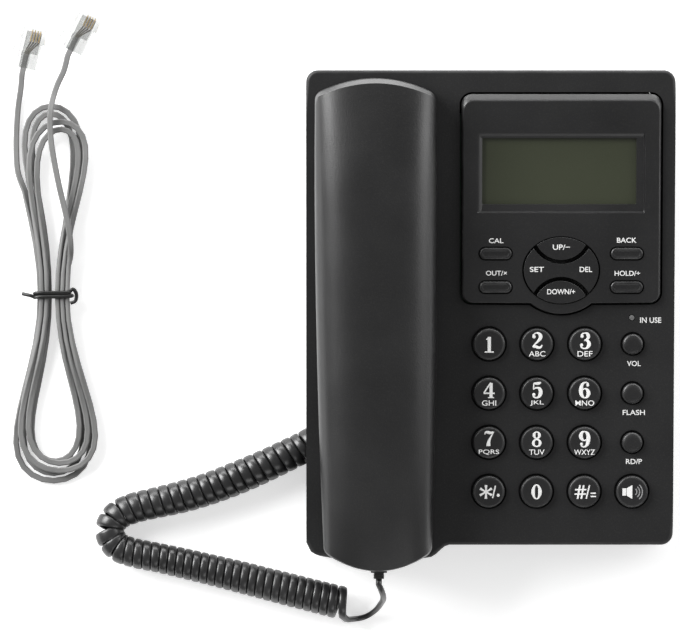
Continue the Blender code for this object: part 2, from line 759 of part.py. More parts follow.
def make_bottom_cover():
    floor = prism("bottom_cover", base_outline(0), FLOOR_HEIGHT, SPLIT_HEIGHT)
    cover = add_part("bottom_cover", floor, "casing")
    hollow = prism("floor_hollow", base_outline(BASE_WALL), FLOOR_TOP, SPLIT_HEIGHT + OVERRUN)
    cut(cover, add_cutter("floor_hollow", hollow))
    low, high = niche_box(NICHE_WALL, FLOOR_TOP - FLOOR_THICK / 2)
    join(cover, add_cutter("niche_block", boxes("niche_block", [((SEAT - HALF_WIDTH, *low[1:]), high)])))
    join(cover, add_cutter("floor_ribs", boxes("floor_ribs", ballast_ribs())))
    pads = [(x, y, BOSS_RADIUS, FLOOR_TOP - FLOOR_THICK / 2, SCREW_PAD_TOP) for x, y in screw_places()]
    join(cover, add_cutter("screw_pads", rods("screw_pads", pads, POST_STEPS)))
    cut(cover, add_cutter("niche_inside", boxes("niche_inside", [niche_box(0, -OVERRUN)])))
    cut(cover, add_cutter("bottom_drill", rods("bottom_drill", bottom_holes(), POST_STEPS)))
    heads = [(x, y, SCREW_HEAD_RADIUS + SCREW_CLEARANCE, -OVERRUN, screw_head_top() + SEAT)
             for x, y in screw_places()]
    cut(cover, add_cutter("screw_counterbores", rods("screw_counterbores", heads, POST_STEPS)))
    openings = [line_jack_notch(), jack_hole_box()]
    cut(cover, add_cutter("jack_openings", boxes("jack_openings", openings)))
    return cover


def screw_head_top():
    return FLOOR_HEIGHT + SCREW_RECESS + SCREW_HEAD_THICK


def bottom_holes():
    """Screw holes and the sound holes under the speaker."""
    x, y = SPEAKER_CENTRE
    holes = [(px, py, SCREW_RADIUS + SCREW_CLEARANCE, -OVERRUN, SCREW_PAD_TOP + OVERRUN)
             for px, py in screw_places()]
    high = FLOOR_TOP + FLOOR_THICK
    holes.append((x, y, GRILLE_RADIUS, -OVERRUN, high))
    for step in range(GRILLE_COUNT):
        angle = 2 * math.pi * step / GRILLE_COUNT
        holes.append((x + GRILLE_RING * math.cos(angle), y + GRILLE_RING * math.sin(angle),
                      GRILLE_RADIUS, -OVERRUN, high))
    return holes


def ballast_ribs():
    """Ribs on the floor that hold the ballast plate at its front and rear."""
    x, y = BALLAST_CENTRE
    width, length, _ = BALLAST_SIZE
    spans = []
    for side in (-1, 1):
        inner = y + side * (length / 2 + SEAT)
        outer = inner + side * RIB_WIDTH
        spans.append(((x - width / 2, min(inner, outer), FLOOR_TOP - FLOOR_THICK / 2),
                      (x + width / 2, max(inner, outer), FLOOR_TOP + RIB_HEIGHT)))
    return spans


def jack_middle_height():
    """Height of the middle of the handset cord's jack in the base."""
    return FLOOR_TOP + SEAT + CORD_JACK_SIZE[2] / 2


def jack_hole_box():
    middle = jack_middle_height()
    wall = -HALF_WIDTH + NICHE_DEPTH
    half_y = CORD_PLUG_WIDTH / 2 + SEAT
    half_z = CORD_PLUG_THICK / 2 + SEAT
    return ((wall - NICHE_WALL, NICHE_Y - half_y, middle - half_z),
            (wall + 2 * NICHE_WALL, NICHE_Y + half_y, middle + half_z))


def make_screws_and_feet():
    x_feet = HALF_WIDTH - FOOT_INSET
    places = [(x, y) for x in (-x_feet, x_feet) for y in (FRONT_Y + FOOT_INSET, REAR_Y - FOOT_INSET)]
    for number, (x, y) in enumerate(places, 1):
        name = f"rubber_foot_{number}"
        foot = rods(name, [(0, 0, FOOT_RADIUS, 0, FLOOR_HEIGHT - SEAT)], FOOT_STEPS)
        add_part(name, foot, "rubber", None, (x, y, 0))
    head = screw_head_top()
    for number, (x, y) in enumerate(screw_places(), 1):
        tip = SCREW_PAD_TOP + SCREW_LENGTH - ROOT
        profile = [(0, tip), (SCREW_RADIUS, tip), (SCREW_RADIUS, head), (SCREW_HEAD_RADIUS, head),
                   (SCREW_HEAD_RADIUS, head - SCREW_HEAD_THICK), (0, head - SCREW_HEAD_THICK)]
        turned(f"base_screw_{number}", profile, POST_STEPS, "steel", None, (x, y, 0))


# Display panel and its keys


def make_bezel():
    rise = BEZEL_RISE
    under = rise - BEZEL_PLATE
    plate = prism("display_bezel", bezel_outline(0), -DECK_THICK, rise)
    bezel = add_part("display_bezel", plate, "panel", DECK)
    hollow = prism("bezel_hollow", bezel_outline(-BEZEL_SKIRT), -DECK_THICK - OVERRUN, under)
    cavity = add_cutter("bezel_hollow", hollow, DECK)
    width, length = RECESS_SIZE
    frame = centred_box(RECESS_CENTRE, (width + 2 * RECESS_WALL, length + 2 * RECESS_WALL, OVERRUN),
                        rise - RECESS_DEPTH)
    cut(cavity, add_cutter("recess_wall", boxes("recess_wall", [frame]), DECK))
    cut(bezel, cavity)
    cut(bezel, add_cutter("display_recess", recess_mesh(), DECK))
    ellipse = ellipse_outline(NAV_ACROSS + NAV_GAP, NAV_ALONG + NAV_GAP)
    tools = prism("nav_opening", ellipse, -OVERRUN, OVERRUN)
    cut(bezel, add_cutter("nav_opening", tools, DECK, (*NAV_CENTRE, 0)))
    for name, x, y in oval_places():
        mesh = prism(name + "_opening", oval_outline(OVAL_GAP), -OVERRUN, OVERRUN)
        cut(bezel, add_cutter(mesh.name, mesh, DECK, (x, y, 0)))
    add_bezel_chamfer(bezel)
    start = BEZEL_FRONT + (BEZEL_LENGTH - BEZEL_TAB_LENGTH) / 2
    finish = start + BEZEL_TAB_LENGTH
    high = -DECK_THICK - SEAT
    tabs = []
    roots = []
    for side in (-1, 1):
        edge = BEZEL_LEFT + BEZEL_WIDTH / 2 + side * BEZEL_WIDTH / 2
        inner = edge - side * BEZEL_SKIRT
        outer = edge + side * (BEZEL_GAP + BEZEL_TAB)
        left, right = sorted((inner, outer))
        tabs.append(((left, start, high - BEZEL_TAB_THICK), (right, finish, high)))
        left, right = sorted((inner, edge))
        roots.append(((left, start, high - BEZEL_TAB_THICK / 2), (right, finish, -DECK_THICK / 2)))
    join(bezel, add_cutter("panel_tabs", boxes("panel_tabs", tabs), DECK),
         add_cutter("panel_tab_roots", boxes("panel_tab_roots", roots), DECK))
    return bezel


def add_bezel_chamfer(bezel):
    """The slope along the panel's rear edge."""
    rear = BEZEL_FRONT + BEZEL_LENGTH
    outline = [(rear - BEZEL_CHAMFER, BEZEL_RISE), (rear, SEAT), (rear + OVERRUN, SEAT),
               (rear + OVERRUN, BEZEL_RISE + OVERRUN), (rear - BEZEL_CHAMFER, BEZEL_RISE + OVERRUN)]
    mesh = prism("panel_slope", outline, BEZEL_LEFT - OVERRUN, BEZEL_LEFT + BEZEL_WIDTH + OVERRUN)
    cut(bezel, add_cutter("panel_slope", mesh, DECK, rotation=(math.pi / 2, 0, math.pi / 2)))


def recess_mesh():
    """The display's sloping walls, from the panel's top down to the window."""
    bm = bmesh.new()
    bmesh.ops.create_cube(bm, size=1)
    slope = (BEZEL_RISE + OVERRUN) - (BEZEL_RISE - RECESS_DEPTH)
    for vert in bm.verts:
        upper = vert.co.z > 0
        share = slope / RECESS_DEPTH if upper else 0
        x = WINDOW_CENTRE[0] + (RECESS_CENTRE[0] - WINDOW_CENTRE[0]) * share
        y = WINDOW_CENTRE[1] + (RECESS_CENTRE[1] - WINDOW_CENTRE[1]) * share
        width = WINDOW_SIZE[0] + (RECESS_SIZE[0] - WINDOW_SIZE[0]) * share
        length = WINDOW_SIZE[1] + (RECESS_SIZE[1] - WINDOW_SIZE[1]) * share
        height = BEZEL_RISE + OVERRUN if upper else BEZEL_RISE - RECESS_DEPTH
        vert.co = (x + vert.co.x * width, y + vert.co.y * length, height)
    top = keep_mesh(bm, "display_recess")
    bm = bmesh.new()
    bm.from_mesh(top)
    floor = [face for face in bm.faces if face.normal.z < -0.9]
    pulled = bmesh.ops.extrude_face_region(bm, geom=floor)
    lower = [item for item in pulled["geom"] if isinstance(item, bmesh.types.BMVert)]
    bmesh.ops.translate(bm, verts=lower, vec=(0, 0, -OVERRUN))
    bmesh.ops.delete(bm, geom=floor, context="FACES_ONLY")
    bm.to_mesh(top)
    bm.free()
    return top


def ellipse_outline(across, along):
    angles = [2 * math.pi * step / NAV_STEPS for step in range(NAV_STEPS)]
    return [(across * math.cos(angle), along * math.sin(angle)) for angle in angles]


def oval_outline(grow):
    half = OVAL_LENGTH / 2 + grow
    side = OVAL_WIDTH / 2 + grow
    return rounded(rectangle(-half, -side, half, side), side - WELD, OVAL_STEPS)


def oval_places():
    """Name and place of each oval key."""
    x, y = NAV_CENTRE
    return [("calc_key", x - OVAL_ACROSS, y + OVAL_ALONG), ("out_key", x - OVAL_ACROSS, y - OVAL_ALONG),
            ("back_key", x + OVAL_ACROSS, y + OVAL_ALONG), ("hold_key", x + OVAL_ACROSS, y - OVAL_ALONG)]


def panel_underside():
    return BEZEL_RISE - BEZEL_PLATE


def panel_flange():
    """Highest and lowest level of the panel keys' flanges."""
    high = panel_underside() - SEAT
    return high, high - PANEL_FLANGE_THICK


def make_oval_keys():
    high, low = panel_flange()
    for name, x, y in oval_places():
        key = add_part(name, prism(name, oval_outline(0), low, OVAL_RISE), "key", DECK, (x, y, 0))
        flange = prism(name + "_flange", oval_outline(OVAL_GAP + KEY_FLANGE / 2), low, high)
        join(key, add_cutter(flange.name, flange, DECK, (x, y, 0)))


def make_nav_keys():
    """The up and down keys, each a lens between the ellipse's rim and an arc, and the rocker between."""
    high, low = panel_flange()
    arc_y = LENS_KEY_DROP + LENS_KEY_RADIUS
    for name, side in (("up_key", 1), ("down_key", -1)):
        mesh = prism(name, ellipse_outline(NAV_ACROSS, NAV_ALONG), low, NAV_RISE)
        key = add_part(name, mesh, "key", DECK, (*NAV_CENTRE, 0))
        reach = NAV_GAP + NAV_FLANGE
        rim = prism(name + "_flange", ellipse_outline(NAV_ACROSS + reach, NAV_ALONG + reach), low, high)
        join(key, add_cutter(rim.name, rim, DECK, (*NAV_CENTRE, 0)))
        disc = rods(name + "_disc", [(0, side * arc_y, LENS_KEY_RADIUS, -OVERRUN, OVERRUN)], NAV_STEPS)
        combine(key, add_cutter(disc.name, disc, DECK, (*NAV_CENTRE, 0)), "INTERSECT")
    thick_low = NAV_RISE - ROCKER_THICK
    outline = ellipse_outline(NAV_ACROSS + NAV_GAP - ROCKER_GAP, NAV_ALONG + NAV_GAP - ROCKER_GAP)
    pivot = NAV_RISE - ROCKER_THICK / 2
    body = prism("set_del_rocker", outline, thick_low - pivot, NAV_RISE - pivot)
    rocker = add_part("set_del_rocker", body, "key", DECK, (*NAV_CENTRE, pivot))
    groove = LENS_KEY_RADIUS + GROOVE_WIDTH
    discs = [(0, side * arc_y, groove, -OVERRUN, OVERRUN) for side in (-1, 1)]
    cut(rocker, add_cutter("rocker_grooves", rods("rocker_grooves", discs, NAV_STEPS), DECK, (*NAV_CENTRE, 0)))
    foot = low - PANEL_KEY_TRAVEL
    post = rods("rocker_post", [(0, 0, ROCKER_POST / 2, foot, NAV_RISE - ROCKER_THICK / 2)], POST_STEPS)
    join(rocker, add_cutter("rocker_post", post, DECK, (*NAV_CENTRE, 0)))


def lens_top():
    return BEZEL_RISE - RECESS_DEPTH - SEAT


def make_display():
    width, length = WINDOW_SIZE
    size = (width + LENS_MARGIN, length + LENS_MARGIN, LENS_THICK)
    low = lens_top() - LENS_THICK
    add_part("display_lens", boxes("display_lens", [centred_box(WINDOW_CENTRE, size, low)]), "lens", DECK)
    floor = SEAT - BOARD_DROP
    module = (size[0] + LCD_MARGIN, size[1] + LCD_MARGIN, low - SEAT - floor)
    add_part("lcd_module", boxes("lcd_module", [centred_box(WINDOW_CENTRE, module, floor)]), "lcd", DECK)


# Keys on the deck, mats, board and lamp


def key_profile(radius):
    """A key's cap, its side and the flange that keeps it under the deck."""
    flange_top = -DECK_THICK - SEAT
    flange = radius + KEY_FLANGE
    return [(0, KEY_RISE), (radius - KEY_EDGE, KEY_RISE - KEY_DOME), (radius, KEY_RISE - KEY_DOME - KEY_EDGE),
            (radius, flange_top), (flange, flange_top), (flange, flange_top - KEY_FLANGE_THICK),
            (0, flange_top - KEY_FLANGE_THICK)]


def make_round_keys():
    for name, x, y, radius in key_places():
        turned(name, key_profile(radius), KEY_STEPS, "key", DECK, (x, y, 0))


def make_board():
    board = ((BOARD_LEFT, BOARD_START, -BOARD_DROP - BOARD_THICK), (BOARD_RIGHT, BOARD_END, -BOARD_DROP))
    add_part("main_board", boxes("main_board", [board]), "board", DECK)
    bottom = SEAT - BOARD_DROP
    key_low = -DECK_THICK - SEAT - KEY_FLANGE_THICK - KEY_TRAVEL
    last_row = ROW_Y - (KEY_ROWS - 1) * ROW_PITCH
    _, flange_low = panel_flange()
    x, y = NAV_CENTRE
    half = OVAL_ACROSS + OVAL_LENGTH / 2
    sheet = ((x - half, last_row - MAT_MARGIN, bottom), (x + half, y + NAV_ALONG, key_low - SEAT))
    raised_top = flange_low - PANEL_KEY_TRAVEL - PANEL_MAT_GAP
    raised = ((x - half, y - NAV_ALONG, bottom), (x + half, y + NAV_ALONG, raised_top))
    mat = add_part("keypad_mat", boxes("keypad_mat", [sheet]), "rubber", DECK)
    join(mat, add_cutter("panel_mat", boxes("panel_mat", [raised]), DECK))
    hole = [(LAMP_X, LAMP_Y, LAMP_RADIUS + SEAT, bottom - OVERRUN, OVERRUN)]
    cut(mat, add_cutter("lamp_hole", rods("lamp_hole", hole, LAMP_STEPS), DECK))
    lamp = rods("in_use_lamp", [(0, 0, LAMP_RADIUS, bottom, LAMP_RISE)], LAMP_STEPS)
    add_part("in_use_lamp", lamp, "lamp", DECK, (LAMP_X, LAMP_Y, 0))


def make_hook():
    """The plunger that the handset holds down, and the switch below it."""
    x = handset_middle(HOOK_Y)
    top = -POD_DEPTH + DISH_DEPTH - SEAT
    low = plunger_bottom()
    flange = PLUNGER_RADIUS + PLUNGER_FLANGE
    profile = [(0, top), (PLUNGER_RADIUS - KEY_EDGE, top), (PLUNGER_RADIUS, top - KEY_EDGE),
               (PLUNGER_RADIUS, low + PLUNGER_FLANGE_THICK), (flange, low + PLUNGER_FLANGE_THICK),
               (flange, low), (0, low)]
    turned("hook_plunger", profile, POST_STEPS, "casing", DECK, (x, HOOK_Y, 0))
    spans = [centred_box((x, HOOK_Y), SWITCH_SIZE, switch_top() - SWITCH_SIZE[2])]
    add_part("hook_switch", boxes("hook_switch", spans), "casing", DECK)


def make_speaker_and_ballast():
    rim = SPEAKER_RADIUS
    profile = [(0, SPEAKER_HEIGHT), (SPEAKER_NECK, SPEAKER_HEIGHT), (SPEAKER_NECK, SPEAKER_CONE),
               (rim - SPEAKER_RIM, SPEAKER_RIM), (rim, SPEAKER_RIM), (rim, 0), (0, 0)]
    turned("base_speaker", profile, SPEAKER_STEPS, "steel", None, (*SPEAKER_CENTRE, FLOOR_TOP + SEAT))
    span = centred_box(BALLAST_CENTRE, BALLAST_SIZE, FLOOR_TOP + SEAT)
    add_part("ballast_plate", boxes("ballast_plate", [span]), "steel")


def make_jacks():
    """The line jack in the rear wall and the handset cord's jack behind the niche."""
    width, length, height = LINE_JACK_SIZE
    rear = REAR_Y - SEAT
    low = FLOOR_TOP + SEAT
    block = ((LINE_JACK_X - width / 2, rear - length, low), (LINE_JACK_X + width / 2, rear, low + height))
    jack = add_part("line_jack", boxes("line_jack", [block]), "casing")
    across, deep, tall = LINE_SOCKET
    middle = low + height / 2
    hole = ((LINE_JACK_X - across / 2, rear - deep, middle - tall / 2),
            (LINE_JACK_X + across / 2, rear + OVERRUN, middle + tall / 2))
    cut(jack, add_cutter("line_socket", boxes("line_socket", [hole])))
    length, width, height = CORD_JACK_SIZE
    start = -HALF_WIDTH + NICHE_DEPTH + NICHE_WALL + SEAT
    block = ((start, NICHE_Y - width / 2, low), (start + length, NICHE_Y + width / 2, low + height))
    jack = add_part("handset_jack", boxes("handset_jack", [block]), "casing")
    half_y = CORD_PLUG_WIDTH / 2 + SEAT
    half_z = CORD_PLUG_THICK / 2 + SEAT
    middle = jack_middle_height()
    hole = ((start - OVERRUN, NICHE_Y - half_y, middle - half_z),
            (start + CORD_SOCKET_DEPTH, NICHE_Y + half_y, middle + half_z))
    cut(jack, add_cutter("cord_socket", boxes("cord_socket", [hole])))


# Handset


def handset_middle(y):
    """Centre line of the handset, which drifts a little to the right towards the front."""
    return HANDSET_X + HANDSET_DRIFT * (WIDEST_Y - y) / WIDEST_Y


def handset_half(y):
    """Half width of the handset in plan."""
    if y < WIDEST_Y:
        return HANDSET_HALF - HANDSET_TAPER * ((WIDEST_Y - y) / WIDEST_Y) ** 2
    return HANDSET_HALF - HANDSET_REAR_TAPER * ((y - WIDEST_Y) / (HANDSET_REAR - WIDEST_Y)) ** 2


def end_setback(across, half, sag):
    """How far an end of the handset draws back from its tip at a share across the width."""
    beyond = max(abs(across) * half - (half - HANDSET_CORNER), 0) / HANDSET_CORNER
    return sag * across ** 2 + HANDSET_CORNER * (1 - math.sqrt(max(1 - min(beyond, 1) ** 2, 0)))


def handset_place(across, share, inset, lean):
    """Plan place on the handset: across from -1 to 1, share from the front end to the rear end."""
    first = HANDSET_FRONT + inset + lean + end_setback(across, handset_half(0), FRONT_SAG)
    last = HANDSET_REAR - inset - lean - end_setback(across, handset_half(HANDSET_REAR), REAR_SAG)
    y = first + (last - first) * share
    return handset_middle(y) + (handset_half(y) - inset) * across, y


def handset_outline(inset):
    """Plan of the handset, counterclockwise from its front left corner."""
    sweep = [math.sin(math.pi * (step / END_STEPS - 1 / 2)) for step in range(END_STEPS + 1)]
    sides = [(step + 1 / 2) / SIDE_STEPS for step in range(SIDE_STEPS)]
    outline = [handset_place(across, 0, inset, 0) for across in sweep]
    outline += [handset_place(1, share, inset, 0) for share in sides]
    outline += [handset_place(-across, 1, inset, 0) for across in sweep]
    outline += [handset_place(-1, 1 - share, inset, 0) for share in sides]
    return outline


def crown_height(y):
    """Height of the handset's back over its parting line, lower towards both ends."""
    middle = (HANDSET_FRONT + HANDSET_REAR) / 2
    reach = (HANDSET_REAR - HANDSET_FRONT) / 2
    return CROWN - CROWN_DROP * abs((y - middle) / reach) ** CROWN_POWER


def make_back_shell():
    """The handset's outer shell: an arched sheet with two end walls, thickened inwards."""
    bm = bmesh.new()
    bmesh.ops.create_grid(bm, x_segments=HANDSET_COLUMNS, y_segments=HANDSET_ROWS + 2, size=1)
    for vert in bm.verts:
        angle = math.pi * (1 - (vert.co.x + 1) / 2)
        across = math.copysign(abs(math.cos(angle)) ** (2 / ARCH_ACROSS), math.cos(angle))
        row = round((vert.co.y + 1) / 2 * (HANDSET_ROWS + 2))
        share = min(max((row - 1) / HANDSET_ROWS, 0), 1)
        wall = row in (0, HANDSET_ROWS + 2)
        x, y = handset_place(across, share, 0, 0 if wall else END_LEAN)
        rim = wall or abs(vert.co.x) > RIM_SHARE
        rise = -HANDSET_WALL / 2 if rim else crown_height(y) * abs(math.sin(angle)) ** (2 / ARCH_UP)
        vert.co = (x, y, PARTING + rise)
    bmesh.ops.recalc_face_normals(bm, faces=bm.faces)
    shell = add_part("handset_back_shell", round_off(keep_mesh(bm, "handset_back_shell")), "casing", DECK)
    skin = shell.modifiers.new("wall", "SOLIDIFY")
    skin.thickness = HANDSET_WALL
    skin.offset = -1
    skin.use_even_offset = True
    below = rectangle(-BASE_LENGTH, -BASE_LENGTH, BASE_LENGTH, HANDSET_REAR + OVERRUN)
    cut(shell, add_cutter("below_parting", prism("below_parting", below, PARTING - OVERRUN, PARTING), DECK))


def grip_profile(grow):
    """Side view of the hand space under the grip, as distance along and height."""
    low = -POD_DEPTH - OVERRUN
    start = GRIP_START - grow
    end = GRIP_END + grow
    top = GRIP_UNDER + grow
    base = HANDSET_UNDER
    rise = [(step / RAMP_STEPS, ease(step / RAMP_STEPS)) for step in range(RAMP_STEPS + 1)]
    profile = [(start, low), (end, low)]
    profile += [(end - GRIP_RAMP * along, base + (top - base) * up) for along, up in rise]
    profile += [(start + GRIP_RAMP * along, base + (top - base) * up) for along, up in reversed(rise)]
    return profile


def side_cutter(name, outline):
    """A tool cut through the handset from its side, from an outline of distance along and height."""
    mesh = prism(name, outline, HANDSET_X - 2 * HANDSET_HALF, HANDSET_X + 2 * HANDSET_HALF)
    return add_cutter(name, mesh, DECK, rotation=(math.pi / 2, 0, math.pi / 2))


def make_front_shell():
    """The handset's inner shell: a tray with a grip arch and two deep ends."""
    top = PARTING - SEAT
    tray = prism("handset_front_shell", handset_outline(0), HANDSET_UNDER, top)
    shell = add_part("handset_front_shell", tray, "casing", DECK)
    cut(shell, side_cutter("grip_space", grip_profile(0)))
    for index, outline in enumerate(pods(0)):
        pod = prism(f"pod_{index}", outline, -POD_DEPTH, HANDSET_UNDER + HANDSET_WALL)
        join(shell, add_cutter(pod.name, pod, DECK))
    hollow = prism("tray_hollow", handset_outline(HANDSET_WALL), HANDSET_UNDER + HANDSET_WALL, top + OVERRUN)
    inside = add_cutter("tray_hollow", hollow, DECK)
    cut(inside, side_cutter("grip_wall", grip_profile(HANDSET_WALL)))
    cut(shell, inside)
    for index, outline in enumerate(pods(-HANDSET_WALL)):
        deep = prism(f"pod_inside_{index}", outline, -POD_DEPTH + HANDSET_WALL, HANDSET_UNDER + OVERRUN)
        cut(shell, add_cutter(deep.name, deep, DECK))
    floor = -POD_DEPTH
    x = handset_middle(CAPSULE_Y)
    pad_top = floor + HANDSET_WALL + DISH_DEPTH
    pad = [(x, CAPSULE_Y, DISH_RADIUS + HANDSET_WALL, floor + HANDSET_WALL / 2, pad_top)]
    join(shell, add_cutter("dish_pad", rods("dish_pad", pad, CAPSULE_STEPS), DECK))
    dish = [(x, CAPSULE_Y, DISH_RADIUS, floor - OVERRUN, floor + DISH_DEPTH)]
    cut(shell, add_cutter("ear_dish", rods("ear_dish", dish, CAPSULE_STEPS), DECK))
    cut(shell, add_cutter("pod_holes", rods("pod_holes", pod_holes(), GRILLE_STEPS), DECK))
    half_x = CORD_PLUG_WIDTH / 2 + SEAT
    half_z = CORD_PLUG_THICK / 2 + SEAT
    middle = handset_jack_middle()
    hole = ((HANDSET_PLUG_X - half_x, HANDSET_FRONT - OVERRUN, middle - half_z),
            (HANDSET_PLUG_X + half_x, HANDSET_FRONT + 2 * HANDSET_WALL, middle + half_z))
    cut(shell, add_cutter("handset_plug_hole", boxes("handset_plug_hole", [hole]), DECK))


def pod_holes():
    """Sound holes through the bottoms of the deep ends."""
    low = -POD_DEPTH - OVERRUN
    high = -POD_DEPTH + OVERRUN + HANDSET_WALL
    x = handset_middle(CAPSULE_Y)
    holes = [(x, CAPSULE_Y, EAR_HOLE_RADIUS, low, high),
             (handset_middle(MICROPHONE_Y), MICROPHONE_Y, EAR_HOLE_RADIUS, low, high)]
    for step in range(EAR_HOLES):
        angle = 2 * math.pi * step / EAR_HOLES
        holes.append((x + EAR_RING * math.cos(angle), CAPSULE_Y + EAR_RING * math.sin(angle),
                      EAR_HOLE_RADIUS, low, high))
    return holes


def handset_jack_middle():
    """Height of the middle of the handset's jack, off the deck."""
    return HANDSET_UNDER + HANDSET_WALL + SEAT + HANDSET_JACK_SIZE[2] / 2


def handset_socket_start():
    """Where the handset's socket begins, behind the curve of the front wall."""
    return HANDSET_FRONT + HANDSET_WALL + SOCKET_SETBACK


def make_handset_insides():
    floor = -POD_DEPTH + HANDSET_WALL + SEAT
    dish = floor + DISH_DEPTH
    x = handset_middle(CAPSULE_Y)
    disc = [(x, CAPSULE_Y, CAPSULE_RADIUS, dish, dish + CAPSULE_HEIGHT)]
    add_part("receiver_capsule", rods("receiver_capsule", disc, CAPSULE_STEPS), "steel", DECK)
    x = handset_middle(MICROPHONE_Y)
    disc = [(x, MICROPHONE_Y, MICROPHONE_RADIUS, floor, floor + MICROPHONE_HEIGHT)]
    add_part("microphone_capsule", rods("microphone_capsule", disc, POST_STEPS), "steel", DECK)
    width, length, height = HANDSET_JACK_SIZE
    start = handset_socket_start()
    low = HANDSET_UNDER + HANDSET_WALL + SEAT
    x = HANDSET_PLUG_X
    block = ((x - width / 2, start, low), (x + width / 2, start + length, low + height))
    jack = add_part("handset_socket", boxes("handset_socket", [block]), "casing", DECK)
    half_x = CORD_PLUG_WIDTH / 2 + SEAT
    half_z = CORD_PLUG_THICK / 2 + SEAT
    middle = handset_jack_middle()
    hole = ((x - half_x, start - OVERRUN, middle - half_z),
            (x + half_x, start + CORD_SOCKET_DEPTH, middle + half_z))
    cut(jack, add_cutter("handset_socket_hole", boxes("handset_socket_hole", [hole]), DECK))


# Cord plugs


def make_cord_plugs():
    half = CORD_PLUG_WIDTH / 2
    thick = CORD_PLUG_THICK / 2
    start = -HALF_WIDTH + NICHE_DEPTH + NICHE_WALL + SEAT + PLUG_INSERT - CORD_PLUG_LENGTH
    middle = jack_middle_height()
    rear = start + CORD_PLUG_LENGTH
    body = ((start, NICHE_Y - half, middle - thick), (rear, NICHE_Y + half, middle + thick))
    add_part("cord_plug_base", boxes("cord_plug_base", [body]), "clear")
    rear = handset_socket_start() + PLUG_INSERT
    middle = handset_jack_middle()
    x = HANDSET_PLUG_X
    body = ((x - half, rear - CORD_PLUG_LENGTH + ROOT, middle - thick), (x + half, rear, middle + thick))
    plug = add_part("cord_plug_handset", boxes("cord_plug_handset", [body]), "cord", DECK)
    boot = ((x - BOOT_WIDTH / 2, HANDSET_FRONT - BOOT_LENGTH, middle - BOOT_THICK / 2),
            (x + BOOT_WIDTH / 2, rear - CORD_PLUG_LENGTH / 2, middle + BOOT_THICK / 2))
    join(plug, add_cutter("cord_boot", boxes("cord_boot", [boot]), DECK))


# Cord routes


def smooth_route(points, spacing):
    """Evenly spaced points on a smooth curve through route points."""
    ends = [points[0] * 2 - points[1], *points, points[-1] * 2 - points[-2]]
    dense = []
    for before, start, finish, after in zip(ends, ends[1:], ends[2:], ends[3:]):
        for step in range(ROUTE_STEPS):
            t = step / ROUTE_STEPS
            dense.append((start * 2 + (finish - before) * t
                          + (before * 2 - start * 5 + finish * 4 - after) * t ** 2
                          + (start * 3 - before - finish * 3 + after) * t ** 3) / 2)
    dense.append(points[-1])
    lengths = [0]
    for first, second in zip(dense, dense[1:]):
        lengths.append(lengths[-1] + (second - first).length)
    count = max(round(lengths[-1] / spacing), 2)
    route = []
    index = 0
    for step in range(count + 1):
        target = lengths[-1] * step / count
        while index < len(lengths) - 2 and lengths[index + 1] < target:
            index += 1
        share = (target - lengths[index]) / (lengths[index + 1] - lengths[index])
        route.append(dense[index].lerp(dense[index + 1], min(share, 1)))
    return route


def route_vectors(points):
    return [Vector(point) * MM for point in points]


def least_self_gap(points, diameter):
    """Least distance between stretches of one cord that are some diameters apart along it."""
    places = np.array([tuple(point) for point in points])
    along = np.concatenate([[0], np.cumsum(np.linalg.norm(np.diff(places, axis=0), axis=1))])
    shares = [step / SPAN_STEPS for step in range(SPAN_STEPS)]
    places = np.concatenate([places[:-1] + (places[1:] - places[:-1]) * share for share in shares])
    along = np.concatenate([along[:-1] + (along[1:] - along[:-1]) * share for share in shares])
    least = math.inf
    for place, length in zip(places, along):
        away = np.linalg.norm(places - place, axis=1)
        least = min(least, away[np.abs(along - length) > APART_SHARE * diameter].min())
    return least - diameter


def report_gap(name, points, diameter):
    print(f"{name} least self-gap {least_self_gap(points, diameter) / MM:.2f} mm, {len(points)} points")


def coil_pitch(share, bend):
    """Advance of one curl: longer on the upper stretch, and longer where the cord bends."""
    change = min(max((share - COIL_CHANGE_SHARE) / COIL_CHANGE_LENGTH_SHARE, 0), 1)
    plain = COIL_UPPER_PITCH + (COIL_LOWER_PITCH - COIL_UPPER_PITCH) * change
    return max(plain, (COIL_STRAND + COIL_LEAST_GAP) / (1 - COIL_RADIUS * bend))


def coil_points():
    """The curly cord's centre line: a helix about its axis, drawn in at the plug and unwound at both ends."""
    axis = smooth_route(route_vectors(COIL_AXIS), COIL_LOWER_PITCH / COIL_SAMPLES)
    step = (axis[1] - axis[0]).length
    total = len(axis) - 1
    reach = round(COIL_STRAND / step)
    turns = [0]
    for index in range(total):
        before = axis[index] - axis[max(index - reach, 0)]
        after = axis[min(index + reach, total)] - axis[index]
        bend = after.angle(before) / (reach * step) if reach < index < total - reach else 0
        wound = min(min(index, total - index) * step / COIL_UNWIND, 1)
        turns.append(turns[-1] + 2 * math.pi * step / coil_pitch(index / total, bend) * wound * (2 - wound))
    wanted = COIL_END_ANGLE - COIL_START_ANGLE
    full = round((turns[-1] - wanted) / (2 * math.pi)) * 2 * math.pi + wanted
    return helix(axis, [COIL_START_ANGLE + turn * full / turns[-1] for turn in turns])


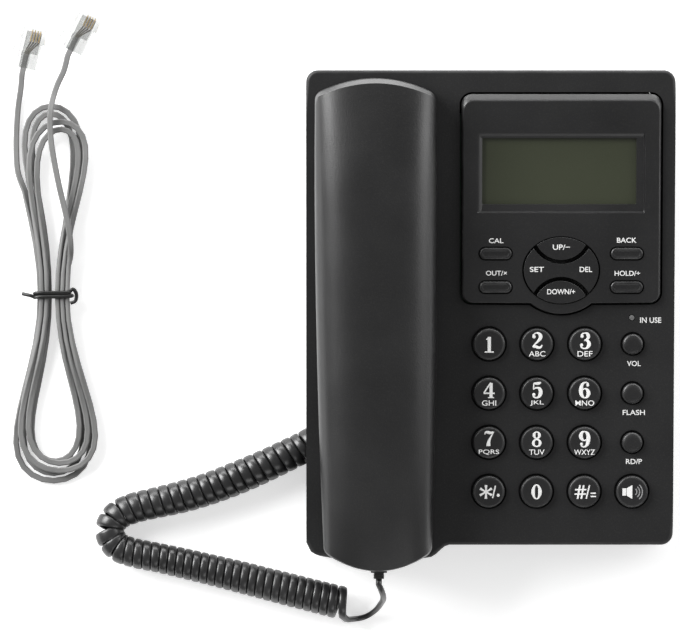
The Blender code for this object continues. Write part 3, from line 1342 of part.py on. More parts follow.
def helix(axis, angles):
    """Points on the helix, a few per curl, with a straight run at each end."""
    last = len(axis) - 1
    count = round((angles[-1] - angles[0]) / (2 * math.pi) * COIL_POINTS)
    points = []
    index = 0
    for number in range(count + 1):
        target = angles[0] + (angles[-1] - angles[0]) * number / count
        while index < last and angles[index] < target - WELD:
            index += 1
        if number == 0 or number == count:
            index = 0 if number == 0 else last
        ahead = axis[min(index + 1, last)] - axis[max(index - 1, 0)]
        side = Vector((-ahead.y, ahead.x, 0)).normalized()
        up = ahead.cross(side).normalized()
        share = min((axis[index] - axis[0]).length / COIL_UNWIND, 1)
        radius = COIL_RADIUS * ease(share)
        points.append(axis[index] + (side * math.cos(angles[index]) + up * math.sin(angles[index])) * radius)
    first = (axis[0] - axis[1]).normalized()
    final = (axis[-1] - axis[-2]).normalized()
    return [points[0] + first * COIL_STRAIGHT, *points, points[-1] + final * COIL_STRAIGHT]


def make_handset_cord():
    coil = coil_points()
    tube("curly_cord", coil, COIL_STRAND, WOUND_ROUNDING, "cord")
    report_gap("curly_cord", coil, COIL_STRAND)
    away = (coil[-1] - coil[-2]).normalized()
    start = coil[-1] + away * SEAT
    boot_y = HANDSET_FRONT - BOOT_LENGTH - SEAT
    runs = [Vector((HANDSET_PLUG_X, y, handset_jack_middle())) for y in (boot_y - CORD_WIDTH, boot_y)]
    ends = [DECK.matrix_world @ run for run in runs]
    route = [start + away * CORD_WIDTH, *route_vectors(TAIL_ROUTE), ends[0]]
    tube("curly_cord_tail", [start, *smooth_route(route, CORD_SPACING * CORD_WIDTH), ends[1]],
         CORD_WIDTH, CORD_ROUNDING, "cord")


def hank_most_inset():
    """How many strands the innermost loop lies inside the outermost."""
    return (HANK_END - math.pi) / (4 * math.pi)


def hank_place(turn):
    """One point of the hank: loops spiral in, climb a layer where they turn back, and spiral out."""
    middle = (math.pi + HANK_END) / 2
    inward = (turn - math.pi) / (2 * math.pi)
    most = hank_most_inset()
    inset = inward if turn < middle else 2 * most - inward
    climb = ease(min(max((turn - middle) / math.pi + 1 / 2, 0), 1))
    sine = math.sin(turn)
    cosine = math.cos(turn)
    waist = HANK_WAIST + HANK_WAIST_STEP * (most - inset)
    lobe = (HANK_TOP_LOBE if sine > 0 else HANK_FOOT_LOBE) - HANK_STEP * inset
    spread = (lobe - waist * WIDEST_SHARE) / (WIDEST_SHARE - WIDEST_SHARE ** 3)
    reach = HANK_TOP + HANK_RISE_SHIFT * climb if sine > 0 else HANK_FOOT
    shift = HANK_LOWER_SHIFT + (HANK_UPPER_SHIFT - HANK_LOWER_SHIFT) * climb
    x = cosine * (waist + spread * sine ** 2) + shift * max(sine, 0) ** 2
    y = (reach - HANK_STEP * inset) * sine
    z = HANK_BOTTOM + HANK_LAYER * climb + HANK_WAIST_LIFT * cosine ** HANK_LIFT_POWER
    return Vector((HANK_CENTRE[0] + x, HANK_CENTRE[1] + y, z))


def make_line_cord():
    count = round((HANK_END - HANK_START) / (2 * math.pi) * HANK_POINTS)
    loops = [hank_place(HANK_START + (HANK_END - HANK_START) * step / count) for step in range(count + 1)]
    tube("line_cord_hank", loops, HANK_STRAND, WOUND_ROUNDING, "line")
    report_gap("line_cord_hank", loops, HANK_STRAND)
    plug_a = plug_entry(PLUG_A_PLACE, PLUG_A_TURN)
    plug_b = plug_entry(PLUG_B_PLACE, PLUG_B_TURN)
    free_end("line_cord_tail_a", loops[1], loops[0], TAIL_A_ROUTE, plug_a)
    free_end("line_cord_tail_b", loops[-2], loops[-1], TAIL_B_ROUTE, plug_b)


def free_end(name, before, last, places, plug):
    """A free end of the line cord, from the hank's last points to a plug."""
    away = (last - before).normalized()
    start = last + away * SEAT
    route = [start + away * LINE_WIDTH, *route_vectors(places), plug[0]]
    tube(name, [start, *smooth_route(route, CORD_SPACING * LINE_WIDTH), plug[1]],
         LINE_WIDTH, CORD_ROUNDING, "line")


def plug_entry(place, turn):
    """The line cord's last straight run, up to a seat's gap behind a plug."""
    spots = [Vector((PLUG_CORD_OFFSET, -SEAT - run, PLUG_CORD_HEIGHT)) for run in (LINE_WIDTH, 0)]
    return [Matrix.Rotation(turn, 3, "Z") @ spot + Vector((*place, 0)) * MM for spot in spots]


def make_line_plugs():
    """The two modular plugs, each lying on its side with its latch to the left."""
    plugs = [("line_plug_a", PLUG_A_PLACE, PLUG_A_TURN), ("line_plug_b", PLUG_B_PLACE, PLUG_B_TURN)]
    for name, place, turn in plugs:
        half = LINE_PLUG_WIDTH / 2
        body = boxes(name, [((-half, 0, SEAT), (half, LINE_PLUG_LENGTH, LINE_PLUG_HEIGHT))])
        plug = add_part(name, body, "clear", None, Vector((*place, 0)) * MM)
        plug.rotation_euler = (0, 0, turn)
        thick, length, height = LINE_PLUG_LATCH
        low = (LINE_PLUG_HEIGHT - height) / 2
        latch = boxes(name + "_latch", [((-thick, -length, low), (0, 0, low + height))])
        root = (thick / 2 - half, LINE_PLUG_LENGTH - ROOT, 0)
        tool = add_cutter(latch.name, latch, plug, root, (0, 0, -LATCH_ANGLE))
        join(plug, tool)


def make_tie():
    """A twist tie round the hank's waist, its two ends left standing out."""
    clear = HANK_STRAND / 2 + TIE_CLEAR + TIE_WIDTH / 2
    half = HANK_WAIST + HANK_WAIST_STEP * hank_most_inset() + clear
    low = TIE_WIDTH / 2
    high = HANK_BOTTOM + HANK_WAIST_LIFT + HANK_LAYER + clear
    points = []
    for step in range(TIE_STEPS + 1):
        share = step / TIE_STEPS
        angle = math.pi / 2 + 2 * math.pi * (TIE_OPEN_SHARE + share * (1 - 2 * TIE_OPEN_SHARE))
        side = math.copysign(abs(math.cos(angle)) ** TIE_SQUARE, math.cos(angle)) * half
        rise = math.copysign(abs(math.sin(angle)) ** TIE_SQUARE, math.sin(angle)) * (high - low) / 2
        points.append(Vector((side, (share - 1 / 2) * TIE_ADVANCE, (low + high) / 2 + rise)))
    points.append(points[-1] + Vector((-TIE_TAIL / 2, TIE_WIDTH, 0)))
    points.insert(0, points[0] + Vector((TIE_TAIL, -TIE_WIDTH, 0)))
    centre = Vector((*HANK_CENTRE, 0))
    tube("hank_tie", [centre + point for point in points], TIE_WIDTH, 1, "cord")


def main():
    make_top_cover()
    make_bottom_cover()
    make_screws_and_feet()
    make_bezel()
    make_display()
    make_nav_keys()
    make_oval_keys()
    make_round_keys()
    make_board()
    make_hook()
    make_speaker_and_ballast()
    make_jacks()
    make_back_shell()
    make_front_shell()
    make_handset_insides()
    make_cord_plugs()
    bpy.context.view_layer.update()
    make_handset_cord()
    make_line_cord()
    make_line_plugs()
    make_tie()


main()
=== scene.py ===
"""Looks of the corded telephone: casing, handset, display panel, keys, cords and plugs."""

import math

import bmesh
import bpy
from mathutils import Matrix, Vector


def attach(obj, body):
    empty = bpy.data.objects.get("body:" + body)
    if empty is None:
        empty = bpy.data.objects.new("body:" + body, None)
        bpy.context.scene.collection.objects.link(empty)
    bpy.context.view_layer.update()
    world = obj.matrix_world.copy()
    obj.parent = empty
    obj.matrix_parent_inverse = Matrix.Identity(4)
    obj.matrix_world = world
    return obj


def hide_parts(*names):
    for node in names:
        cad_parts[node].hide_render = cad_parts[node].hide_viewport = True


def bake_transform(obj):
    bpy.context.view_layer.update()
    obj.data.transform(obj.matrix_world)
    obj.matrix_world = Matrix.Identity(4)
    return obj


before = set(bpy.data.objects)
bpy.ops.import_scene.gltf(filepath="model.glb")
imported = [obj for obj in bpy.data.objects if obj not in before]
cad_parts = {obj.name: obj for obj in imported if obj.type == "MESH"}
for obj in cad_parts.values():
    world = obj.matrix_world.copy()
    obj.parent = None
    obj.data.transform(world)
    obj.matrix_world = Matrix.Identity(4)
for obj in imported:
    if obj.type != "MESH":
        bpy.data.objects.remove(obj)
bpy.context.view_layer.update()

MM = 0.001
DEGREE = math.pi / 180
EDGE_BREADTH = 0.35 * MM

# Casing, in millimetres
BASE_HALF = 80
FRONT_Y = -97.75
REAR_Y = 108.6
FRONT_HEIGHT = 28
DECK_TILT = 5 * DEGREE
DECK = Matrix.Translation((0, FRONT_Y * MM, FRONT_HEIGHT * MM)) @ Matrix.Rotation(DECK_TILT, 4, "X")
CASING_CORNER = 5.2
WALL = 2.4
TONGUE_X = -48.5
TONGUE_HALF = 31
TONGUE_REACH = 7.4
SCREW_PLACES = [(x, y) for x in (-19.8, 73.9) for y in (-89.75, 102.4)]
FOOT_PLACES = [(x, y) for x in (-65, 65) for y in (-82.75, 93.6)]
SOUND_CENTRE = (28, 48)

# Display panel and keys, in the deck's plane, in millimetres
PANEL_LEFT = -12.7
PANEL_WIDTH = 86.5
PANEL_FRONT = 106.1
PANEL_LENGTH = 90.6
PANEL_CORNER = 4.6
RECESS_SIZE = (72.9, 35.1)
RECESS_CENTRE = (30.35, 162.9)
WINDOW_SIZE = (66.8, 28.7)
WINDOW_CENTRE = (29.7, 163.35)
MENU_CENTRE = (30.6, 120.4)
LAMP_CENTRE = (61.5, 99.6)
LARGE_CAP = 6.95
SMALL_CAP = 4.45
CAP_TOP = [(6.89, 1.95), (6.7, 2.28), (6.4, 2.5), (6.05, 2.58), (5.7, 2.54), (5.25, 2.45),
           (3.82, 2.36), (1.74, 2.3)]

# Lettering, in millimetres: text, place, width, height, level above the deck and body
KEY_LETTERS = {"2": ("ABC", 7.2), "3": ("DEF", 6.5), "4": ("GHI", 6.2), "5": ("JKL", 5.9), "6": ("MNO", 8.2),
               "7": ("PQRS", 8.9), "8": ("TUV", 6.7), "9": ("WXYZ", 9.1)}
LABELS = [("VOL", 62.5, 79.56, 6.0, 2.25, 0, "base"), ("FLASH", 62.6, 58.17, 9.7, 2.25, 0, "base"),
          ("RD/P", 62.8, 36.7, 7.0, 2.25, 0, "base"), ("IN USE", 69.7, 98.52, 9.2, 2.4, 0, "base"),
          ("CAL", 2.36, 133.3, 6.3, 2.1, 2.6, "base"), ("OUT/×", 2.53, 119.21, 9.1, 2.1, 2.6, "base"),
          ("BACK", 58.96, 133.52, 8.5, 2.2, 2.6, "base"), ("HOLD/÷", 59.27, 119.12, 11.0, 2.2, 2.6, "base"),
          ("SET", 20.04, 120.87, 6.1, 2.25, 3.2, "rocker"), ("DEL", 41.27, 120.87, 5.4, 2.25, 3.2, "rocker"),
          ("UP/−", 30.6, 130.53, 7.4, 2.3, 3.2, "up_key_body"),
          ("DOWN/+", 30.6, 111.17, 12.1, 2.3, 3.2, "down_key_body")]

# Handset, in the deck's plane, in millimetres
HANDSET_X = -49.8
HANDSET_DRIFT = 0.86
HANDSET_HALF = 26.4
HANDSET_TAPER = 2.9
HANDSET_REAR_TAPER = 0.6
WIDEST_Y = 150
HANDSET_REAR = 203.7
SEAM_HEIGHT = 14
HANDSET_FRONT = (SEAM_HEIGHT * math.sin(DECK_TILT) - 10.85) / math.cos(DECK_TILT)
EAR_Y = 175
MOUTH_Y = 17
HOOK_Y = 172
HANDSET_PLUG_X = -48.4
HANDSET_PLUG_HEIGHT = 8.2

# Camera, light and floor
CAMERA_LENS = 239.2
CAMERA_PLACE = (-65.3 * MM, 2.62 * MM, 2)
LAMPS = [("left_wall", (-1.35, 0.8, 0.9), 1.2, 1.1, 46), ("rear_strip", (0.1, 1.45, 0.36), 2.2, 0.45, 20),
         ("right_wall", (1.35, 0.55, 0.7), 1.3, 1.0, 12), ("front_wall", (0.4, -1.5, 1.3), 1.4, 0.6, 5)]
ROOM_COLOUR = (0.2, 0.2, 0.2, 1)
FLOOR_GLOW = 0.55
DUST_COLOUR = (0.28, 0.27, 0.25)

# Handset cord
COIL_AXIS = [(-69.6, -51.8, 9.3), (-73.0, -51.9, 9.2), (-77.9, -53.6, 7.8), (-83.8, -56.9, 7.3),
             (-91.8, -60.8, 7.7), (-99.7, -64.5, 7.9), (-109.4, -68.7, 7.9), (-120.4, -73.0, 7.7),
             (-130.6, -76.3, 7.5), (-139.8, -78.7, 7.3), (-148.7, -80.7, 7.1), (-157.0, -82.8, 7.0),
             (-164.0, -86.4, 6.9), (-166.9, -92.8, 6.9), (-163.6, -99.2, 6.9), (-156.4, -102.2, 7.0),
             (-144.7, -104.6, 7.0), (-127.1, -108.6, 7.2), (-109.4, -112.9, 7.4), (-91.8, -117.4, 7.6),
             (-74.1, -121.9, 7.8), (-61.4, -125.1, 7.9)]
COIL_RADII = [radius * MM for radius in (5.3, 6.0, 6.25, 6.1, 5.7, 5.3, 5.4, 5.7, 6.0, 6.2, 6.3)]
COIL_STRAND = 2.6 * MM
COIL_UPPER_PITCH = 4.6 * MM
COIL_LOWER_PITCH = 3.65 * MM
COIL_CHANGE_SHARE = 0.4
COIL_CHANGE_LENGTH_SHARE = 0.25
STRAND_GAP = 0.2 * MM
STRAND_BEND = 1.3 * MM
STRAND_LEAST = 1.2 * MM
STRAND_WIDEST = 5.2 * MM
COIL_POINTS = 16
COIL_SAMPLES = 40
COIL_START_ANGLE = 20 * DEGREE
COIL_END_ANGLE = 170 * DEGREE
COIL_UNWIND = 9 * MM
COIL_STRAIGHT = 3 * MM
CORD_WIDTH = 2.8 * MM
BOOT_LENGTH = 3.8 * MM
TAIL_WIDTH = 2.4 * MM
TAIL_ROUTE = [(-58.8, -131.7, 2.6), (-55.8, -131.3, 1.9), (-52.6, -130.0, 2.7), (-49.2, -127.2, 6.8),
              (-47.2, -124.0, 13.5), (-46.4, -122.0, 21.5), (-46.5, -119.8, 28.6), (-47.3, -117.2, 33.0)]

# Line cord
HANK_CENTRE = (-191.8 * MM, 11.5 * MM)
HANK_STEP = 3.3 * MM
HANK_WAIST_STEP = 2.2 * MM
HANK_LAYER = 3.2 * MM
HANK_BOTTOM = 1.35 * MM
HANK_WAIST = 1.2 * MM
HANK_WAIST_LIFT = 1.9 * MM
HANK_TOP_LOBE = 14.8 * MM
HANK_FOOT_LOBE = 17.2 * MM
HANK_TOP = 86 * MM
HANK_FOOT = 83 * MM
HANK_LOWER_SHIFT = -1.5 * MM
HANK_UPPER_SHIFT = 3.4 * MM
HANK_RISE_SHIFT = -7 * MM
HANK_FOOT_SHIFT = 2.6 * MM
HANK_FOOT_RISE = -4.5 * MM
HANK_START = 150 * DEGREE
HANK_END = 1807 * DEGREE
HANK_POINTS = 48
HANK_LIFT_POWER = 8
HANK_TWIST_STEPS = 10
WIDEST_SHARE = math.sqrt(1 / 3)
LINE_WIDTH = 2.6 * MM
TAIL_A_ROUTE = [(-207.8, 66.0, 1.4), (-208.5, 76.0, 1.4), (-208.3, 86.0, 1.4), (-207.6, 95.0, 1.5),
                (-206.4, 103.0, 2.4)]
TAIL_B_ROUTE = [(-184.2, 29.0, 7.2), (-184.2, 36.0, 8.8), (-186.0, 46.5, 9.2), (-189.6, 62.0, 9.0),
                (-192.6, 79.0, 8.8), (-193.0, 92.0, 7.6), (-190.8, 102.5, 4.6), (-187.4, 110.5, 3.2)]
PLUG_A = Matrix.Translation(Vector((-203.5, 111.3, 0)) * MM) @ Matrix.Rotation(-13 * DEGREE, 4, "Z")
PLUG_B = Matrix.Translation(Vector((-182.9, 118.8, 0)) * MM) @ Matrix.Rotation(-26 * DEGREE, 4, "Z")
PLUG_CORD_OFFSET = -1.8
PLUG_CORD_HEIGHT = 3.2
TIE_WIDTH = 1.6 * MM
TIE_STAND = 2.1 * MM
TIE_STEPS = 60
TIE_TURN = 480 * DEGREE


# Working helpers


def alone(piece):
    """Select one piece only and make it the active one."""
    bpy.ops.object.select_all(action="DESELECT")
    piece.select_set(True)
    bpy.context.view_layer.objects.active = piece
    return piece


def settle(piece, place):
    """Put a piece where it belongs, with that place in its mesh."""
    alone(piece)
    piece.matrix_world = place
    bpy.ops.object.transform_apply(location=True, rotation=True, scale=True)
    return piece


def finish_piece(piece, body, material, *nodes, slot=None):
    """Give a piece its material and its body, if it has just one, and let it stand for its nodes."""
    piece.data.materials.clear()
    piece.data.materials.append(material)
    if body:
        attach(piece, body)
    if nodes:
        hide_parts(*nodes)
    return piece


def ease(share):
    return share ** 2 * (3 - 2 * share)


def signed_power(value, power):
    """A sine or cosine raised to a power, with its sign kept."""
    return math.copysign(abs(value) ** power, value)


def around(count):
    """Evenly spaced angles of a whole turn."""
    return [2 * math.pi * step / count for step in range(count)]


def spot(x, y, level=0):
    return Matrix.Translation((x * MM, y * MM, level * MM))


def smooth_route(points, spacing):
    """Evenly spaced points on a smooth curve through route points."""
    ends = [points[0] * 2 - points[1], *points, points[-1] * 2 - points[-2]]
    dense = []
    for before, start, finish, after in zip(ends, ends[1:], ends[2:], ends[3:]):
        for step in range(16):
            t = step / 16
            dense.append((start * 2 + (finish - before) * t
                          + (before * 2 - start * 5 + finish * 4 - after) * t ** 2
                          + (start * 3 - before - finish * 3 + after) * t ** 3) / 2)
    dense.append(points[-1])
    lengths = [0]
    for first, second in zip(dense, dense[1:]):
        lengths.append(lengths[-1] + (second - first).length)
    count = max(round(lengths[-1] / spacing), 2)
    route = []
    index = 0
    for step in range(count + 1):
        target = lengths[-1] * step / count
        while index < len(lengths) - 2 and lengths[index + 1] < target:
            index += 1
        share = (target - lengths[index]) / (lengths[index + 1] - lengths[index])
        route.append(dense[index].lerp(dense[index + 1], min(share, 1)))
    return route


def in_metres(points):
    return [Vector(point) * MM for point in points]


# Cords


def coil_radius(share):
    """Radius of the curls, slacker towards both ends than at the bend."""
    place = min(max(share, 0), 1) * (len(COIL_RADII) - 1)
    step = min(int(place), len(COIL_RADII) - 2)
    return COIL_RADII[step] + (COIL_RADII[step + 1] - COIL_RADII[step]) * ease(place - step)


def coil_pitch(share, bend):
    """Advance of one curl: longer on the upper stretch, and longer where the cord bends."""
    change = min(max((share - COIL_CHANGE_SHARE) / COIL_CHANGE_LENGTH_SHARE, 0), 1)
    plain = COIL_UPPER_PITCH + (COIL_LOWER_PITCH - COIL_UPPER_PITCH) * change
    return max(plain, STRAND_BEND / (1 - coil_radius(share) * bend))


def coil_route():
    """The curly cord's centre line, with the outward side and the strand's width at each point."""
    axis = smooth_route(in_metres(COIL_AXIS), COIL_LOWER_PITCH / COIL_SAMPLES)
    step = (axis[1] - axis[0]).length
    total = len(axis) - 1
    reach = round(COIL_STRAND / step)
    turns = [0]
    spacings = []
    for index in range(total):
        before = axis[index] - axis[max(index - reach, 0)]
        after = axis[min(index + reach, total)] - axis[index]
        inside = Vector()
        if reach < index < total - reach:
            inside = (after.normalized() - before.normalized()) / (reach * step)
        wound = min(min(index, total - index) * step / COIL_UNWIND, 1)
        pitch = coil_pitch(index / total, inside.length)
        spacings.append((pitch, inside))
        turns.append(turns[-1] + 2 * math.pi * step / pitch * wound * (2 - wound))
    wanted = COIL_END_ANGLE - COIL_START_ANGLE
    full = round((turns[-1] - wanted) / (2 * math.pi)) * 2 * math.pi + wanted
    angles = [COIL_START_ANGLE + turn * full / turns[-1] for turn in turns]
    return helix(axis, angles, [*spacings, spacings[-1]])


def helix(axis, angles, spacings):
    """The strand wound round an axis at given angles, with its outward sides and its widths."""
    last = len(axis) - 1
    count = round((angles[-1] - angles[0]) / (2 * math.pi) * COIL_POINTS)
    points = []
    outward = []
    breadths = []
    index = 0
    for number in range(count + 1):
        target = angles[0] + (angles[-1] - angles[0]) * number / count
        while index < last - 1 and angles[index + 1] < target:
            index += 1
        between = (target - angles[index]) / max(angles[index + 1] - angles[index], MM * MM)
        between = min(max(between, 0), 1)
        ahead = axis[min(index + 2, last)] - axis[max(index - 1, 0)]
        side = Vector((-ahead.y, ahead.x, 0)).normalized()
        up = ahead.cross(side).normalized()
        share = min((index + between) * (axis[1] - axis[0]).length / COIL_UNWIND, 1)
        radius = coil_radius((index + between) / last)
        out = side * math.cos(target) + up * math.sin(target)
        points.append(axis[index].lerp(axis[index + 1], between) + out * radius * ease(share))
        outward.append(out)
        pitch, inside = spacings[index]
        room = pitch * (1 - radius * out.dot(inside)) - STRAND_GAP
        breadths.append(min(max(room, STRAND_LEAST), STRAND_WIDEST))
    first = (axis[0] - axis[1]).normalized()
    points.insert(0, points[0] + first * COIL_STRAIGHT)
    return points, [outward[0], *outward], [breadths[0], *breadths]


def hank_place(turn):
    """One point of the hank: loops spiral in, climb a layer where they turn back, and spiral out."""
    middle = (math.pi + HANK_END) / 2
    inward = (turn - math.pi) / (2 * math.pi)
    most = (HANK_END - math.pi) / (4 * math.pi)
    inset = inward if turn < middle else 2 * most - inward
    climb = ease(min(max((turn - middle) / math.pi + 1 / 2, 0), 1))
    sine = math.sin(turn)
    cosine = math.cos(turn)
    waist = HANK_WAIST + HANK_WAIST_STEP * (most - inset)
    if sine > 0:
        lobe, reach = HANK_TOP_LOBE, HANK_TOP + HANK_RISE_SHIFT * climb
        shift = HANK_LOWER_SHIFT + (HANK_UPPER_SHIFT - HANK_LOWER_SHIFT) * climb
    else:
        lobe, reach = HANK_FOOT_LOBE, HANK_FOOT + HANK_FOOT_RISE * climb
        shift = HANK_FOOT_SHIFT * climb
    spread = (lobe - HANK_STEP * inset - waist * WIDEST_SHARE) / (WIDEST_SHARE - WIDEST_SHARE ** 3)
    x = cosine * (waist + spread * sine ** 2) + shift * sine ** 2
    y = (reach - HANK_STEP * inset) * sine
    z = HANK_BOTTOM + HANK_LAYER * climb + HANK_WAIST_LIFT * cosine ** HANK_LIFT_POWER
    return Vector((HANK_CENTRE[0] + x, HANK_CENTRE[1] + y, z))


def sweep(name, points, up_sides, section, widths=None):
    """A cord of one cross-section along its points, with closed ends and a map round and along it."""
    whole = max(across for across, _ in section) * 2
    count = len(section)
    rows = []
    along = [0]
    for index, point in enumerate(points):
        ahead = (points[min(index + 1, len(points) - 1)] - points[max(index - 1, 0)]).normalized()
        up = (up_sides[index] - ahead * ahead.dot(up_sides[index])).normalized()
        side = ahead.cross(up)
        spread = widths[index] / whole if widths else 1
        rows.append([point + side * across * spread + up * rise for across, rise in section])
        if index:
            along.append(along[-1] + (point - points[index - 1]).length)
    faces = []
    maps = []
    for row in range(len(rows) - 1):
        for step in range(count):
            near, far = row * count, (row + 1) * count
            after = (step + 1) % count
            faces.append((near + step, near + after, far + after, far + step))
            low, high = step / count, (step + 1) / count
            maps += [(low, along[row]), (high, along[row]), (high, along[row + 1]), (low, along[row + 1])]
    last = (len(rows) - 1) * count
    faces += [tuple(reversed(range(count))), tuple(range(last, last + count))]
    maps += [(0.5, 0)] * count + [(0.5, along[-1])] * count
    mesh = bpy.data.meshes.new(name)
    mesh.from_pydata([place for row in rows for place in row], [], faces)
    layer = mesh.uv_layers.new(name="cord_map")
    for loop, place in zip(layer.data, maps):
        loop.uv = place
    piece = bpy.data.objects.new(name, mesh)
    bpy.context.scene.collection.objects.link(piece)
    edit(piece)
    face_outwards()
    done()
    bpy.ops.object.shade_smooth()
    return piece


def carry(up, points):
    """The upward side of a run of points, carried along without twisting."""
    sides = []
    for first, second in zip(points, points[1:]):
        ahead = (second - first).normalized()
        up = (up - ahead * ahead.dot(up)).normalized()
        sides.append(up)
    return sides + [up]


def oval_section(width, height, power, steps):
    """A flattened round cross-section, squarer as the power goes down."""
    return [(signed_power(math.cos(turn), power) * width / 2,
             signed_power(math.sin(turn), power) * height / 2) for turn in around(steps)]


def strand(name, places, section, place=Matrix(), up=(0, 0, 1), spacing=0.4 * MM):
    """A short untwisted wire through a few places in millimetres."""
    points = smooth_route([place @ point for point in in_metres(places)], spacing)
    return sweep(name, points, [Vector(up)] * len(points), section)


def ribbed_section(width, height, groove, steps):
    """A flat cord's cross-section with a shallow groove down the middle of both faces."""
    section = []
    for across, rise in oval_section(width, height, 0.6, steps):
        dip = groove * math.exp(-(across / (width * 0.13)) ** 2)
        section.append((across, rise - math.copysign(dip, rise) if abs(rise) > MM * MM else rise))
    return section


def make_handset_cord():
    points, sides, widths = coil_route()
    away = (points[-1] - points[-2]).normalized()
    boot_y = HANDSET_FRONT * MM - BOOT_LENGTH
    ends = [DECK @ Vector((HANDSET_PLUG_X * MM, y, HANDSET_PLUG_HEIGHT * MM))
            for y in (boot_y - CORD_WIDTH, boot_y)]
    route = [points[-1] + away * CORD_WIDTH / 2, *in_metres(TAIL_ROUTE), ends[0]]
    tail = [*smooth_route(route, CORD_WIDTH / 2), ends[1]]
    sides += carry(sides[-1], [points[-1], *tail])[1:]
    points += tail
    widths += [widths[-1] + (TAIL_WIDTH - widths[-1]) * min(step / 6, 1) for step in range(len(tail))]
    cord = sweep("curly_handset_cord", points, sides, oval_section(CORD_WIDTH, 2.4 * MM, 0.62, 16), widths)
    return cord, points


def make_line_cord():
    count = round((HANK_END - HANK_START) / (2 * math.pi) * HANK_POINTS)
    loops = [hank_place(HANK_START + (HANK_END - HANK_START) * step / count) for step in range(count + 1)]
    route_a = free_end(loops[1], loops[0], TAIL_A_ROUTE, PLUG_A)
    route_b = free_end(loops[-2], loops[-1], TAIL_B_ROUTE, PLUG_B)
    points = [*reversed(route_a), *loops, *route_b]
    sides = [Vector((0, 0, 1))] * len(points)
    for number in range(-HANK_TWIST_STEPS, len(loops) + HANK_TWIST_STEPS):
        turn = HANK_START + (HANK_END - HANK_START) * min(max(number, 0), count) / count
        beyond = max(-number, number - count, 0) / HANK_TWIST_STEPS
        lean = math.pi / 2 * abs(math.cos(turn)) ** HANK_LIFT_POWER * ease(max(1 - beyond, 0))
        sides[len(route_a) + number] = Vector((math.sin(lean), 0, math.cos(lean)))
    cord = sweep("flat_line_cord", points, sides, ribbed_section(2.6 * MM, 2.0 * MM, 0.28 * MM, 20))
    return cord, points


def free_end(before, last, places, plug):
    away = (last - before).normalized()
    ends = [plug @ Vector((PLUG_CORD_OFFSET * MM, y, PLUG_CORD_HEIGHT * MM)) for y in (-LINE_WIDTH, MM)]
    route = [last + away * LINE_WIDTH, *in_metres(places), ends[0]]
    return [*smooth_route(route, LINE_WIDTH / 2), ends[1]]


# Shaping helpers, all in millimetres


def edit(piece, kind="FACE"):
    """Open a piece for editing with nothing selected."""
    alone(piece)
    bpy.ops.object.mode_set(mode="EDIT")
    bpy.ops.mesh.select_mode(type=kind)
    bpy.ops.mesh.select_all(action="DESELECT")


def done():
    bpy.ops.object.mode_set(mode="OBJECT")


def pick_faces(piece, wanted):
    """Select the faces whose middle, in millimetres, and normal pass a test."""
    bpy.ops.mesh.select_mode(type="FACE")
    bpy.ops.mesh.select_all(action="DESELECT")
    bm = bmesh.from_edit_mesh(piece.data)
    bm.normal_update()
    for face in bm.faces:
        face.select_set(wanted(face.calc_center_median() / MM, face.normal))
    bmesh.update_edit_mesh(piece.data)


def pick_edges(piece, wanted):
    """Select the edges whose two ends, in millimetres, pass a test."""
    bpy.ops.mesh.select_mode(type="EDGE")
    bpy.ops.mesh.select_all(action="DESELECT")
    bm = bmesh.from_edit_mesh(piece.data)
    for edge in bm.edges:
        edge.select_set(wanted(edge.verts[0].co / MM, edge.verts[1].co / MM))
    bmesh.update_edit_mesh(piece.data)


def face_outwards():
    bpy.ops.mesh.select_all(action="SELECT")
    bpy.ops.mesh.normals_make_consistent(inside=False)


def extrude(rise):
    bpy.ops.mesh.extrude_region_move(TRANSFORM_OT_translate={"value": (0, 0, rise * MM)})


def widen(share, x=0, y=0):
    bpy.ops.transform.resize(value=(share, share, 1), center_override=(x * MM, y * MM, 0))


def keep_size(name):
    """Name the shape just added, with its place and size kept in its mesh."""
    piece = bpy.context.object
    piece.name = name
    bpy.ops.object.transform_apply(location=True, rotation=True, scale=True)
    return piece


def plate(name, outline, low, high):
    """A plate on an outline, pulled up from a flat many-cornered face."""
    bpy.ops.mesh.primitive_circle_add(vertices=len(outline), radius=MM, fill_type="NGON")
    piece = bpy.context.object
    piece.name = name
    for vert, (x, y) in zip(piece.data.vertices, outline):
        vert.co = (x * MM, y * MM, low * MM)
    edit(piece)
    bpy.ops.mesh.select_all(action="SELECT")
    extrude(high - low)
    face_outwards()
    done()
    return piece


def block(name, low, high):
    """A box between its lowest and highest corner, to be shaped further."""
    low, high = (Vector([part * MM for part in corner]) for corner in (low, high))
    bpy.ops.mesh.primitive_cube_add(size=1, location=(low + high) / 2, scale=high - low)
    return keep_size(name)


def rod(name, x, y, radius, low, high, steps=48):
    bpy.ops.mesh.primitive_cylinder_add(vertices=steps, radius=radius * MM, depth=(high - low) * MM,
                                        location=(x * MM, y * MM, (low + high) / 2 * MM))
    return keep_size(name)


def rods_around(name, x, y, reach, count, *size):
    return [rod(name, x + reach * math.cos(turn), y + reach * math.sin(turn), *size)
            for turn in around(count)]


def gather(name, pieces):
    """Join pieces that don't touch each other into one."""
    bpy.ops.object.select_all(action="DESELECT")
    for piece in pieces:
        piece.select_set(True)
    bpy.context.view_layer.objects.active = pieces[0]
    if len(pieces) > 1:
        bpy.ops.object.join()
    pieces[0].name = name
    return pieces[0]


def carve(piece, *tools, how="DIFFERENCE"):
    """Cut tools out of a piece, or with another word unite or intersect them."""
    for tool in tools:
        alone(piece)
        cut = piece.modifiers.new("cut", "BOOLEAN")
        cut.object = tool
        cut.operation = how
        cut.solver = "EXACT"
        bpy.ops.object.modifier_apply(modifier=cut.name)
        bpy.data.objects.remove(tool)
    return piece


